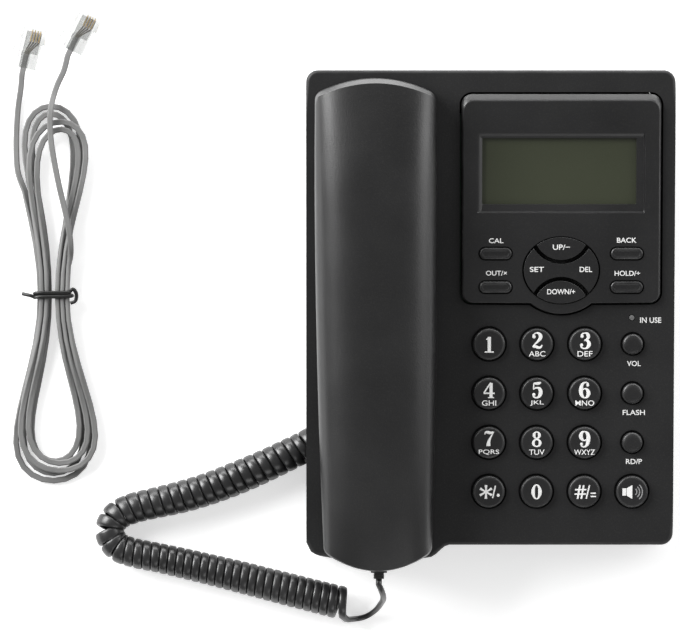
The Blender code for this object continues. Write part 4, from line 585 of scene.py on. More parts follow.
def round_rim(piece, wanted, width, segments):
    """Round the edges of a piece whose two ends pass a test."""
    edit(piece, "EDGE")
    pick_edges(piece, wanted)
    bpy.ops.mesh.bevel(offset=width * MM, segments=segments, profile=0.5, affect="EDGES", clamp_overlap=True)
    done()
    return piece


def bevel_edges(piece, width, segments, angle, corners):
    """Bevel every edge sharper than an angle."""
    alone(piece)
    edges = piece.modifiers.new("soft_edges", "BEVEL")
    edges.width = width * MM
    edges.segments = segments
    edges.limit_method = "ANGLE"
    edges.angle_limit = angle * DEGREE
    edges.miter_outer = corners
    bpy.ops.object.modifier_apply(modifier=edges.name)


def soften(piece, width, segments=2, angle=35):
    """Break every sharp edge of a finished shape a little and shade its round sides smooth."""
    if width:
        bevel_edges(piece, width, segments, angle, "MITER_ARC")
    alone(piece)
    bpy.ops.object.shade_smooth_by_angle(angle=angle * DEGREE)
    mark_edges(piece)
    even = piece.modifiers.new("even_shading", "WEIGHTED_NORMAL")
    even.keep_sharp = True
    even.weight = 100
    bpy.ops.object.modifier_apply(modifier=even.name)
    return piece


def mark_edges(piece):
    """Mark the rounded edges, for scuffing and a painted edge highlight: points whose faces are all narrow
    and turn outwards.
    """
    bm = bmesh.new()
    bm.from_mesh(piece.data)
    layer = bm.verts.layers.float.get("edge") or bm.verts.layers.float.new("edge")
    for vert in bm.verts:
        turned = max((vert.normal.angle(face.normal, 0) for face in vert.link_faces), default=0)
        narrow = all(face.calc_area() / max(face.calc_perimeter(), MM * MM) < EDGE_BREADTH
                     for face in vert.link_faces)
        outward = all(edge.calc_face_angle_signed(0) > -0.01 for edge in vert.link_edges)
        vert[layer] = 1.0 if narrow and outward and turned > 0.12 else 0.0
    bm.to_mesh(piece.data)
    bm.free()


def copy_of(piece, name):
    """A copy with a mesh of its own."""
    twin = piece.copy()
    twin.data = piece.data.copy()
    twin.name = name
    bpy.context.scene.collection.objects.link(twin)
    return twin


def repeat(model, material, slot, rows):
    """Set out finished copies of a model, each with its name, place, body and node, and drop the model."""
    for name, place, body, node in rows:
        finish_piece(settle(copy_of(model, name), place), body, material, node, slot=slot)
    bpy.data.objects.remove(model)


def stack(name, rings):
    """A closed shape through outlines of one count, each pulled up from the last to its own height."""
    before, low = rings[0]
    top = rings[1][1]
    piece = plate(name, before, low, top)
    edit(piece, "VERT")
    for number, (after, height) in enumerate(rings[1:]):
        pick_faces(piece, lambda middle, normal: middle.z > top - MM and abs(normal.z) > 0.999)
        if number:
            extrude(height - top)
        bm = bmesh.from_edit_mesh(piece.data)
        for vert in bm.verts:
            if vert.select:
                x, y, _ = vert.co / MM
                index = min(range(len(before)), key=lambda i: math.dist(before[i], (x, y)))
                vert.co = (after[index][0] * MM, after[index][1] * MM, height * MM)
        bmesh.update_edit_mesh(piece.data)
        before, top = after, height
    face_outwards()
    done()
    return piece


def rectangle(left, front, right, rear):
    return [(left, front), (right, front), (right, rear), (left, rear)]


def rounded(corners, radius, steps):
    """An outline through corners given counterclockwise, each turned with an arc of the radius."""
    outline = []
    count = len(corners)
    for index in range(count):
        corner = Vector(corners[index])
        back = (Vector(corners[index - 1]) - corner).normalized()
        ahead = (Vector(corners[(index + 1) % count]) - corner).normalized()
        half = back.angle(ahead) / 2
        centre = corner + (back + ahead).normalized() * radius / math.sin(half)
        start = corner + back * radius / math.tan(half) - centre
        finish = corner + ahead * radius / math.tan(half) - centre
        turn = start.angle_signed(finish)
        for step in range(steps + 1):
            point = centre + Matrix.Rotation(-turn * step / steps, 2) @ start
            outline.append((point.x, point.y))
    return outline


def ellipse(across, along, steps=96):
    return [(across * math.cos(turn), along * math.sin(turn)) for turn in around(steps)]


# Casing


def deck_height(y):
    return FRONT_HEIGHT + (y - FRONT_Y) * math.tan(DECK_TILT)


def casing_outline(inset):
    """Plan of the casing, with the tongue under the handset's front end."""
    side = BASE_HALF - inset
    front = FRONT_Y + inset
    body = rounded(rectangle(-side, front, side, REAR_Y - inset), CASING_CORNER - inset / 2, 10)
    corner = [point for point in body if point[0] < 0 and point[1] < 0]
    right = TONGUE_X + TONGUE_HALF - inset
    tongue = [(-side, front + 1)]
    for step in range(1, 33):
        x = -side + (right + side) * step / 32
        tongue.append((x, front - tongue_reach(x, side, right)))
    return tongue + body[len(corner):]


def tongue_reach(x, side, right):
    """How far the tongue stands out of the front edge at x."""
    left_share = min((x + side) / 6, 1)
    right_share = min((right - x) / 8, 1)
    rise = math.sqrt(max(1 - (1 - left_share) ** 2, 0))
    bow = ((x - TONGUE_X) / TONGUE_HALF) ** 2
    return TONGUE_REACH * (1 - bow / 2) * rise * ease(right_share)


def wedge(name, inset, low, drop):
    """A block on the casing's plan whose top slopes with the deck."""
    piece = plate(name, casing_outline(inset), low, 100)
    for vert in piece.data.vertices:
        if vert.co.z > 99 * MM:
            vert.co.z = (deck_height(vert.co.y / MM) - drop) * MM
    return piece


def pods(grow):
    """Plan outlines of the handset's two deep ends."""
    outlines = []
    for y, half, front, rear in ((EAR_Y, 22, 149, 197), (MOUTH_Y, 20.5, -2.5, 43)):
        x = handset_middle(y)
        corners = rectangle(x - half - grow, front - grow, x + half + grow, rear + grow)
        outlines.append(rounded(corners, 11 + grow, 12))
    return outlines


def well_tools(grow, floor):
    """Tools for the two wells and the trough between them."""
    tools = [plate("well", outline, -9.3 - floor, 5) for outline in pods(0.8 + grow)]
    middle = handset_middle(96)
    half = 19 + grow
    tools.append(block("trough", (middle - half, 35, -4 - floor), (middle + half, 157, 6)))
    return [settle(tool, DECK) for tool in tools]


def hole_tool(x, y, radius, depth, lip):
    """A punch that flares towards the top, so that the hole gets a rounded lip."""
    tool = rod("punch", x, y, radius, -depth, -lip, 64)
    edit(tool)
    pick_faces(tool, lambda middle, normal: normal.z > 0.9)
    for rise, grow in ((0.5, 0.15), (0.35, 0.3), (0.35, 0.6)):
        extrude(rise * lip)
        widen((radius + grow * lip) / radius, x, y)
        radius += grow * lip
    extrude(4)
    done()
    return tool


def make_casing_top():
    cover = wedge("casing_top", 0, 12.3, 0)
    round_rim(cover, lambda a, b: min(a.z, b.z) > 20 and abs(a.z - b.z) < 17, 1.6, 6)
    hollow = wedge("hollow", WALL, 2, 2.5)
    carve(hollow, *well_tools(WALL, 2.5))
    carve(cover, hollow)
    bosses = [rod("boss", x, y, 3.2, 7.3, deck_height(y) - 1) for x, y in SCREW_PLACES]
    carve(cover, gather("bosses", bosses), how="UNION")
    carve(cover, gather("drill", [rod("drill", x, y, 1.75, 0, 21, 24) for x, y in SCREW_PLACES]))
    carve(cover, *well_tools(0, 0))
    carve(cover, settle(plate("panel_opening", panel_outline(0.85), -9, 5), DECK))
    carve(cover, block("line_notch", (23.2, 94.6, 4), (36.8, 115, 18.4)))
    carve(cover, block("cord_notch", (-85, -66.1, -5), (-61.7, -37.5, 17.8)))
    bevel_edges(cover, 0.3, 3, 40, "MITER_SHARP")
    carve(cover, settle(rod("hook_hole", handset_middle(HOOK_Y), HOOK_Y, 4.3, -20, -6), DECK))
    for _, x, y, radius in key_places():
        carve(cover, settle(hole_tool(x, y, radius + 0.55, 6, 0.55), DECK))
    carve(cover, settle(rod("lamp_hole", *LAMP_CENTRE, 1.4, -6, 5), DECK))
    soften(cover, 0, angle=40)
    return finish_piece(cover, "base", plastic_casing, "top_cover", slot="casing")


def make_casing_bottom():
    cover = plate("casing_bottom", casing_outline(0), 2, 12)
    round_rim(cover, lambda a, b: max(a.z, b.z) < 3, 1.4, 5)
    carve(cover, plate("floor_hollow", casing_outline(WALL), 4.3, 17))
    carve(cover, block("niche_block", (-79.7, -65.8, 3), (-62, -37.8, 17.5)), how="UNION")
    niche = block("niche_inside", (-85, -63.8, -5), (-64, -39.8, 15.5))
    round_rim(niche, lambda a, b: a.x > -70 and b.x > -70, 2.5, 6)
    carve(cover, niche)
    holes = [rod("sound_hole", *SOUND_CENTRE, 1.6, -5, 7, 32)]
    for reach, count in ((8.5, 6), (16.5, 12)):
        holes += rods_around("sound_hole", *SOUND_CENTRE, reach, count, 1.6, -5, 7, 32)
    for x, y in SCREW_PLACES:
        holes += [rod("screw_seat", x, y, 3.1, -5, 4.4), rod("screw_hole", x, y, 1.75, 4.4, 9)]
    holes.append(block("blank_label", (-30, -10, -5), (14, 20, 2.3)))
    carve(cover, gather("bottom_holes", holes))
    carve(cover, block("line_notch", (23.2, 94.6, 4.45), (36.8, 115, 18.4)))
    carve(cover, block("jack_hole", (-66, -55.6, 6.3), (-60, -48, 12.3)))
    soften(cover, 0.25)
    return finish_piece(cover, "base", plastic_casing, "bottom_cover", slot="casing")


def make_feet_and_screws():
    foot = rod("foot", 0, 0, 6, 0, 1.7)
    edit(foot)
    pick_faces(foot, lambda middle, normal: normal.z < -0.9)
    bpy.ops.mesh.inset(thickness=1.1 * MM)
    bpy.ops.transform.translate(value=(0, 0, 0.5 * MM))
    done()
    soften(foot, 0.3, 3)
    repeat(foot, foot_rubber, "rubber", [
        (f"foot_pad_{number}", spot(*place), "base", f"rubber_foot_{number}")
        for number, place in enumerate(FOOT_PLACES, 1)])
    head = rod("screw", 0, 0, 2.75, 2.3, 4.1)
    edit(head)
    pick_faces(head, lambda middle, normal: normal.z > 0.9)
    widen(0.5)
    extrude(16)
    done()
    carve(head, *[block("cross", (-x, -y, 1), (x, y, 3.4)) for x, y in ((1.6, 0.35), (0.35, 1.6))])
    soften(head, 0.18)
    repeat(head, screw_steel, "steel", [
        (f"case_screw_{number}", spot(*place), "base", f"base_screw_{number}")
        for number, place in enumerate(SCREW_PLACES, 1)])


# Display panel


def panel_outline(grow):
    """Plan of the display panel, with the bulge round the oval of menu keys."""
    return panel_ring(grow, grow, grow, PANEL_CORNER + grow)


def panel_ring(side, front, rear, corner):
    """The panel's outline grown by different amounts at its sides, front and rear."""
    low = PANEL_FRONT - front
    edge = rounded(rectangle(PANEL_LEFT - side, low, PANEL_LEFT + PANEL_WIDTH + side,
                             PANEL_FRONT + PANEL_LENGTH + rear), corner, 12)
    across = 20.4 + front
    along = 19.1 + front
    start = math.asin((MENU_CENTRE[1] - low + 0.2) / along)
    bulge = []
    for step in range(33):
        angle = math.pi + start + (math.pi - 2 * start) * step / 32
        bulge.append((MENU_CENTRE[0] + across * math.cos(angle), MENU_CENTRE[1] + along * math.sin(angle)))
    return edge[:13] + bulge + edge[13:]


def make_panel():
    """The display panel: its rim rolls over at the sides and slopes widely at the rear."""
    steps = [(-2.5, 0, 0, 0), (0.3, 0, 0, 0), (1.2, -0.12, -0.02, -1.1), (1.85, -0.3, -0.08, -1.9),
             (2.3, -0.6, -0.2, -2.5), (2.52, -0.85, -0.35, -2.85), (2.6, -1.15, -0.55, -3.2)]
    panel = stack("display_panel", [(panel_ring(side, front, rear, PANEL_CORNER + 0.4 * side), height)
                                    for height, side, front, rear in steps])
    hollow = plate("panel_hollow", panel_outline(-1.8), -8, 0.4)
    x, y = RECESS_CENTRE
    carve(hollow, block("recess_wall", (x - 38, y - 19.2, -0.6), (x + 38, y + 19.2, 1)))
    carve(panel, hollow, recess_tool())
    holes = [settle(plate("menu_hole", ellipse(16.9, 14.8), -5, 5), spot(*MENU_CENTRE))]
    for _, x, y in oval_places():
        holes.append(settle(plate("oval_hole", oval_outline(0.55), -5, 5), spot(x, y)))
    carve(panel, gather("panel_holes", holes))
    soften(panel, 0.15, 2, 40)
    settle(panel, DECK)
    return finish_piece(panel, "base", plastic_panel, "display_bezel", slot="panel")


def recess_tool():
    """The display's walls: long slopes at the left and rear, a shelf with a steep rim at the others."""
    rings = []
    for height, slope, shelf in ((-7, 0, 0), (0.9, 0, 0), (1.3, 0.24, 0.84), (2.6, 1, 1), (3.9, 1.76, 1.16)):
        sides = []
        for axis, side, share in ((0, -1, slope), (1, -1, shelf), (0, 1, shelf), (1, 1, slope)):
            inner = WINDOW_CENTRE[axis] + side * WINDOW_SIZE[axis] / 2
            outer = RECESS_CENTRE[axis] + side * RECESS_SIZE[axis] / 2
            sides.append(inner + (outer - inner) * share)
        rings.append((rounded(rectangle(*sides), 0.4, 4), height))
    return stack("display_recess", rings)


def make_display():
    x, y = WINDOW_CENTRE
    outline = rounded(rectangle(x - 34.9, y - 15.85, x + 34.9, y + 15.85), 1, 6)
    lens = settle(soften(plate("display_window", outline, -2.3, -0.9), 0.2), DECK)
    return finish_piece(lens, "base", display_window, "display_lens", slot="lens")


def oval_outline(grow):
    half = 6.95 + grow
    side = 2.5 + grow
    return rounded(rectangle(-half, -side, half, side), side - 0.01, 14)


def oval_places():
    x, y = MENU_CENTRE
    return [(name, x + right * 28.45, y + up * 7.3) for name, right, up in (
        ("calc_key", -1, 1), ("out_key", -1, -1), ("back_key", 1, 1), ("hold_key", 1, -1))]


def make_oval_keys():
    model = stack("oval_key", [(oval_outline(grow), height) for height, grow in (
        (-1.0, 1.1), (0.05, 1.1), (0.08, 0), (2.75, 0), (3.2, -0.12), (3.43, -0.4), (3.5, -0.75),
        (3.44, -1.1), (3.3, -1.4), (3.22, -1.8))])
    soften(model, 0)
    repeat(model, plastic_key, "key", [
        (name.replace("_key", "_button"), DECK @ spot(x, y), name + "_body", name)
        for name, x, y in oval_places()])


def make_menu_keys():
    """The up and down keys, each a lens inside the oval, and the rocker between them."""
    place = DECK @ spot(*MENU_CENTRE)
    for name, side in (("up_key", 1), ("down_key", -1)):
        key = plate(name.replace("_key", "_button"), ellipse(16.5, 14.4, 128), -1.0, 3.2)
        carve(key, rod("disc", 0, side * 16.55, 11.95, -5, 5, 128), how="INTERSECT")
        settle(soften(key, 0.55, 4), place)
        finish_piece(key, name + "_body", plastic_key, name, slot="key")
    rocker = plate("menu_rocker", ellipse(16.2, 14.1, 128), 0.8, 3.2)
    carve(rocker, *[rod("groove", 0, side * 16.55, 13.75, -5, 5, 128) for side in (-1, 1)])
    carve(rocker, rod("rocker_post", 0, 0, 1.25, -2.2, 2, 24), how="UNION")
    settle(soften(rocker, 0.5, 4), place)
    finish_piece(rocker, "rocker", plastic_key, "set_del_rocker", slot="key")


# Keys on the deck


def key_places():
    """Every round key's name, place and cap radius."""
    names = ["key_1", "key_2", "key_3", "volume_key", "key_4", "key_5", "key_6", "flash_key",
             "key_7", "key_8", "key_9", "redial_key", "key_star", "key_0", "key_hash", "speaker_key"]
    places = []
    for index, name in enumerate(names):
        row, column = divmod(index, 4)
        radius = SMALL_CAP if name in ("volume_key", "flash_key", "redial_key") else LARGE_CAP
        places.append((name, -0.5 + 20.8 * column, 88.1 - 21.5 * row, radius))
    return places


def dished_cap(radius):
    """A number key's cap: a rolled rim round a shallow dish."""
    rings = [(radius + 1.2, -3.9), (radius + 1.2, -2.9), (radius, -2.8), (radius, 1.6), *CAP_TOP]
    return stack("dished_cap", [(ellipse(reach, reach, 72), height) for reach, height in rings])


def domed_cap(radius):
    """A small key's cap: a rounded button."""
    rings = [(radius + 1.2, -3.9), (radius + 1.2, -2.9), (radius, -2.8), (radius, 1.3)]
    for step in range(1, 8):
        angle = step / 8 * math.pi / 2
        rings.append((radius * math.cos(angle) ** 0.55, 1.3 + 1.3 * math.sin(angle)))
    return stack("domed_cap", [(ellipse(reach, reach, 56), height) for reach, height in rings])


def make_round_keys():
    models = {LARGE_CAP: soften(dished_cap(LARGE_CAP), 0), SMALL_CAP: soften(domed_cap(SMALL_CAP), 0)}
    for name, x, y, radius in key_places():
        key = copy_of(models[radius], name.replace("_key", "").replace("key_", "key_cap_") + "_cap")
        settle(key, DECK @ spot(x, y))
        finish_piece(key, name + "_body", plastic_key, name, slot="key")
    for model in models.values():
        bpy.data.objects.remove(model)


def make_lamp():
    dome = rod("in_use_light", 0, 0, 1.1, -7, 0.12, 32)
    edit(dome)
    pick_faces(dome, lambda middle, normal: normal.z > 0.9)
    for reach in (0.8, 0.6):
        extrude(0.08)
        widen(reach)
    done()
    settle(soften(dome, 0), DECK @ spot(*LAMP_CENTRE))
    finish_piece(dome, "base", lamp_lens, "in_use_lamp", slot="lamp")


# Handset


def handset_middle(y):
    return HANDSET_X + HANDSET_DRIFT * (WIDEST_Y - y) / WIDEST_Y


def handset_half(y):
    if y < WIDEST_Y:
        return HANDSET_HALF - HANDSET_TAPER * ((WIDEST_Y - y) / WIDEST_Y) ** 2
    return HANDSET_HALF - HANDSET_REAR_TAPER * ((y - WIDEST_Y) / (HANDSET_REAR - WIDEST_Y)) ** 2


def end_setback(across, half, sag):
    """How far an end of the handset draws back from its tip at a share across the width."""
    corner = 2.4
    beyond = max(abs(across) * half - (half - corner), 0) / corner
    return sag * across ** 2 + corner * (1 - math.sqrt(max(1 - min(beyond, 1) ** 2, 0)))


def handset_place(across, share, inset=0, lean=0):
    first = HANDSET_FRONT + inset + lean + end_setback(across, handset_half(0), 8.2)
    last = HANDSET_REAR - inset - lean - end_setback(across, handset_half(HANDSET_REAR), 6.5)
    y = first + (last - first) * share
    return handset_middle(y) + (handset_half(y) - inset) * across, y


def handset_outline(inset):
    ends = [math.sin(math.pi * (step / 40 - 1 / 2)) for step in range(41)]
    sides = [(step + 1 / 2) / 30 for step in range(30)]
    route = [(across, 0) for across in ends] + [(1, share) for share in sides]
    route += [(-across, 1) for across in ends] + [(-1, 1 - share) for share in sides]
    return [handset_place(across, share, inset) for across, share in route]


def crown_height(y):
    middle = (HANDSET_FRONT + HANDSET_REAR) / 2
    reach = (HANDSET_REAR - HANDSET_FRONT) / 2
    return 13.92 - 5.5 * abs((y - middle) / reach) ** 3.2


def make_handset_back():
    """The outer shell: a fine grid arched into the crown, with two end walls, thickened inwards."""
    columns, rows = 64, 120
    bpy.ops.mesh.primitive_grid_add(x_subdivisions=columns, y_subdivisions=rows + 2, size=2)
    shell = bpy.context.object
    shell.name = "handset_back"
    for vert in shell.data.vertices:
        angle = math.pi * (1 - (vert.co.x + 1) / 2)
        across = signed_power(math.cos(angle), 2 / 2.5)
        row = round((vert.co.y + 1) / 2 * (rows + 2))
        share = min(max((row - 1) / rows, 0), 1)
        wall = row in (0, rows + 2)
        x, y = handset_place(across, share, lean=0 if wall else 1.5)
        rim = wall or abs(vert.co.x) > 0.999
        rise = 0 if rim else crown_height(y) * abs(math.sin(angle)) ** (2 / 2.1)
        vert.co = (x * MM, y * MM, (SEAM_HEIGHT + rise) * MM)
    edit(shell)
    face_outwards()
    done()
    skin = shell.modifiers.new("wall", "SOLIDIFY")
    skin.thickness = 2 * MM
    skin.offset = -1
    bpy.ops.object.modifier_apply(modifier=skin.name)
    settle(soften(shell, 0.35, 3, 40), DECK)
    return finish_piece(shell, "handset", plastic_handset, "handset_back_shell", slot="casing")


def grip_tool(name, grow):
    """The hand space under the grip, cut through from the side."""
    low = -14
    start = 47 - grow
    end = 145 + grow
    base = 1.6
    top = 10 + grow
    rise = [(step / 12, ease(step / 12)) for step in range(13)]
    profile = [(start, low), (end, low)]
    profile += [(end - 14 * along, base + (top - base) * up) for along, up in rise]
    profile += [(start + 14 * along, base + (top - base) * up) for along, up in reversed(rise)]
    turn = Matrix.Rotation(math.pi / 2, 4, "Z") @ Matrix.Rotation(math.pi / 2, 4, "X")
    return settle(plate(name, profile, -105, 5), turn)


def make_handset_front():
    """The inner shell: a tray with a grip arch, an ear pod and a mouth pod."""
    shell = plate("handset_front", handset_outline(0), 1.6, 13.7)
    carve(shell, grip_tool("grip_space", 0))
    for outline in pods(0):
        pod = plate("pod", outline, -9, 3.6)
        round_rim(pod, lambda a, b: max(a.z, b.z) < -8, 2.2, 6)
        carve(shell, pod, how="UNION")
    inside = plate("tray_hollow", handset_outline(2), 3.6, 19)
    carve(inside, grip_tool("grip_wall", 2))
    carve(shell, inside)
    for outline in pods(-2):
        carve(shell, plate("pod_inside", outline, -7, 7))
    x = handset_middle(EAR_Y)
    carve(shell, rod("dish_pad", x, EAR_Y, 16, -8, -5, 64), how="UNION")
    carve(shell, rod("ear_dish", x, EAR_Y, 14, -14, -7, 64))
    holes = [rod("ear_hole", x, EAR_Y, 1.3, -14, 0, 24),
             rod("mouth_hole", handset_middle(MOUTH_Y), MOUTH_Y, 1.3, -14, 0, 24),
             *rods_around("ear_hole", x, EAR_Y, 6.5, 6, 1.3, -14, 0, 24)]
    carve(shell, gather("pod_holes", holes))
    carve(shell, block("plug_hole", (HANDSET_PLUG_X - 3.8, HANDSET_FRONT - 5, 5.2),
                       (HANDSET_PLUG_X + 3.8, HANDSET_FRONT + 4, 11.2)))
    settle(soften(shell, 0.3, 2), DECK)
    return finish_piece(shell, "handset", plastic_handset, "handset_front_shell", slot="casing")


# Jacks, plugs and tie


def make_jacks():
    jack = block("line_socket_block", (23.5, 94.3, 4.6), (36.5, 108.3, 18.1))
    carve(jack, block("socket", (25.05, 99.2, 6.55), (34.95, 110, 16.15)),
          block("keyway", (28.4, 99.2, 5.35), (31.6, 110, 7)))
    soften(jack, 0.3)
    finish_piece(jack, "base", jack_plastic, "line_jack", slot="casing")
    wires = []
    for number in range(4):
        x = 28.2 + 1.2 * number
        places = [(x, 99.8, 15.9), (x, 105.6, 15.6), (x, 106.4, 15.1), (x, 105.8, 14.2), (x, 100.6, 9.2)]
        wires.append(strand("wire", places, oval_section(0.45 * MM, 0.45 * MM, 1, 8), up=(1, 0, 0)))
    finish_piece(gather("line_socket_wires", wires), "base", gold_contact)


def contact_row(name, place, gap, low, high, near, far):
    """Four thin gilded blades standing side by side in a plug's far end."""
    blades = []
    for number in range(4):
        x = gap * (number - 1.5)
        blades.append(block("blade", (x - 0.16, near, low), (x + 0.16, far, high)))
    return finish_piece(soften(settle(gather(name, blades), place), 0.06), "base", gold_contact)


def make_line_plugs():
    """The two clear plugs, each on its side: body, latch, blades, and the flat cord's four wires inside."""
    pieces = []
    for letter, place in (("a", PLUG_A), ("b", PLUG_B)):
        body = block("clear_plug_" + letter, (-5.2, 0, 0.3), (5.2, 18.2, 9.4))
        round_rim(body, lambda a, b: abs(a.x - b.x) < 1 and abs(a.y - b.y) < 1, 0.7, 3)
        wire_places = [1.2 * number - 1.0 for number in range(4)]
        tools = [block(*tool) for tool in (
            ("shoulder", (3.9, -1, -1), (7, 11.6, 11)), ("cord_way", (-3.7, -1, 1.6), (0.1, 6.9, 4.9)),
            ("wire_way", (-3.6, 6.8, 2.2), (3.1, 16.6, 4.4)), ("clamp", (-3.6, 5.2, 5.9), (2.4, 7.4, 11)),
            ("front_step", (-7, 15.4, 8.3), (7, 20, 11)))]
        tools += [block("slot", (x - 0.25, 11.9, 6.6), (x + 0.25, 17.4, 11)) for x in wire_places]
        carve(body, *tools)
        latch = block("latch", (-1.3, -15, 2.05), (0, 0, 7.65))
        edit(latch)
        pick_faces(latch, lambda middle, normal: normal.y < -0.9)
        bpy.ops.transform.resize(value=(0.7, 1, 0.55), center_override=(0, -15 * MM, 4.85 * MM))
        done()
        carve(latch, *[block("step", (-2, -6.2, low), (-0.75, -3, high))
                       for low, high in ((0, 3.3), (6.4, 10))])
        settle(latch, spot(-4.55, 17.9) @ Matrix.Rotation(-13 * DEGREE, 4, "Z"))
        carve(body, latch, how="UNION")
        settle(soften(body, 0.22), place)
        finish_piece(body, "base", clear_plastic, "line_plug_" + letter, slot="clear")
        blades = contact_row("plug_blades_" + letter, place @ spot(0.8, 0), 1.2, 4.3, 8.4, 12.1, 17.2)
        wires = []
        for number, end in enumerate(wire_places):
            start = PLUG_CORD_OFFSET + 0.55 * (number - 1.5)
            places = [(start, 5.4, 3.2), (start, 6.6, 3.2), ((start + end) / 2, 9.6, 3.4), (end, 12.4, 3.6),
                      (end, 16.2, 3.7)]
            wires.append(strand("wire", places, oval_section(0.62 * MM, 0.62 * MM, 1, 10), place))
        inner = finish_piece(gather("plug_wires_" + letter, wires), "base", wire_jacket)
        places = [(PLUG_CORD_OFFSET, y, PLUG_CORD_HEIGHT) for y in (-0.6, 3, 6.4)]
        section = ribbed_section(2.4 * MM, 1.8 * MM, 0.25 * MM, 20)
        end = strand("jacket_end_" + letter, places, section, place, spacing=MM)
        finish_piece(end, "base", grey)
        pieces += [body, blades, inner, end]
    return pieces


def make_cord_plugs():
    """The small clear plug in the base's niche, and the handset's plug with its ridged boot."""
    z = 9.3
    body = block("small_plug", (-66.2, -55.3, z - 2.7), (-55.7, -48.3, z + 2.7))
    carve(body, block("cord_way", (-70, -53.3, z - 1.4), (-61, -50.3, z + 1.4)))
    round_rim(body, lambda a, b: abs(a.y - b.y) > 6 and a.x < -65, 0.8, 3)
    soften(body, 0.2)
    finish_piece(body, "base", clear_plastic, "cord_plug_base", slot="clear")
    turn = spot(-56, -51.8) @ Matrix.Rotation(-90 * DEGREE, 4, "Z")
    blades = contact_row("small_plug_blades", turn, 1.1, z - 2.6, z - 0.4, -3, 0)
    x, z, front, rear = HANDSET_PLUG_X, HANDSET_PLUG_HEIGHT, HANDSET_FRONT, HANDSET_FRONT + 9.4
    plug = block("handset_plug", (x - 3.5, rear - 10.45, z - 2.7), (x + 3.5, rear, z + 2.7))
    boot = block("boot", (x - 2.3, front - 3.8, z - 1.9), (x + 2.3, rear - 5, z + 1.9))
    round_rim(boot, lambda a, b: abs(a.y - b.y) > 1, 0.9, 4)
    ridges = []
    for number in range(3):
        y = front - (3.1 - 1.15 * number)
        for left, right, low in ((-4, -1.9, -4), (1.9, 4, -4), (-1.95, 1.95, 1.5)):
            ridges.append(block("groove", (x + left, y, z + low), (x + right, y + 0.5, z + 4)))
    carve(boot, *ridges)
    carve(plug, boot, how="UNION")
    settle(soften(plug, 0.15), DECK)
    finish_piece(plug, "handset", black, "cord_plug_handset", slot="cord")
    return [body, blades, plug]


def make_tie():
    """A twist tie wound over the hank's waist twice, hooked at one end, with a short tail at the other."""
    half = HANK_WAIST + HANK_WAIST_STEP * (HANK_END - math.pi) / (4 * math.pi) + TIE_STAND
    low = TIE_WIDTH * 0.6
    high = HANK_BOTTOM + HANK_WAIST_LIFT + HANK_LAYER + TIE_STAND
    loop = [(half - 0.5 * MM, -3.6 * MM, high - 1.6 * MM), (half + 1.6 * MM, -2.6 * MM, high - MM),
            (half + 2.0 * MM, 0.4 * MM, high - 0.5 * MM), (half + 0.6 * MM, 2.5 * MM, high + 0.2 * MM)]
    for step in range(TIE_STEPS + 1):
        share = step / TIE_STEPS
        angle = math.pi / 4 + TIE_TURN * share
        side = signed_power(math.cos(angle), 0.4) * half
        rise = signed_power(math.sin(angle), 0.4) * (high - low) / 2
        loop.append((side, (1 / 2 - share) * 2.3 * MM, (low + high) / 2 + rise))
    loop += [(-half - 1.5 * MM, -0.4 * MM, high - MM), (-half - 5.4 * MM, 0.5 * MM, high - 2.2 * MM)]
    centre = Vector((*HANK_CENTRE, 0))
    points = smooth_route([centre + Vector(point) for point in loop], 0.5 * MM)
    section = oval_section(TIE_WIDTH, TIE_WIDTH, 0.7, 12)
    tie = sweep("twist_tie", points, carry(Vector((0, 0, 1)), points), section)
    return finish_piece(tie, "base", tie_plastic, "hank_tie", slot="cord")


# Lettering


def dish_height(reach):
    """Height of a number key's top at a distance from its middle."""
    steps = CAP_TOP[::-1]
    for (near, low), (far, high) in zip(steps, steps[1:]):
        if reach <= far:
            return low + (high - low) * min(max((reach - near) / (far - near), 0), 1)
    return steps[-1][1]


def print_on(piece, name, place, body, material=None):
    """Lay finished lettering on its surface and give it to the body it is printed on."""
    piece.name = name
    finish_piece(settle(piece, place), body, material or legend_white)


def stamp(piece, name, key, rise=0, aside=0, material=None):
    """Print lettering on a round key, sunk to the dish of its top."""
    for vert in piece.data.vertices:
        vert.co.y += rise * MM
        vert.co.z += dish_height(math.hypot(vert.co.x, vert.co.y) / MM) * MM
    x, y = next((x, y) for other, x, y, _ in key_places() if other == key)
    print_on(piece, name, DECK @ spot(x + aside, y), key + "_body", material)


def words(text, width, height, weight=0.012):
    """Flat lettering of a given width and height, as a thin mesh about its own middle."""
    bpy.ops.object.text_add()
    label = bpy.context.object
    label.data.body = text
    label.data.extrude = 0.02
    label.data.offset = weight
    label.data.resolution_u = 4
    alone(label)
    bpy.ops.object.convert(target="MESH")
    label = bpy.context.object
    edit(label)
    bpy.ops.mesh.select_all(action="SELECT")
    bpy.ops.mesh.quads_convert_to_tris()
    bpy.ops.mesh.subdivide(number_cuts=2)
    done()
    for axis, size in ((0, width), (1, height)):
        places = [vert.co[axis] for vert in label.data.vertices]
        least, most = min(places), max(places)
        for vert in label.data.vertices:
            vert.co[axis] = (vert.co[axis] - (most + least) / 2) * (size * MM / (most - least))
    for vert in label.data.vertices:
        vert.co.z = vert.co.z * 3 * MM + 0.03 * MM
    return label


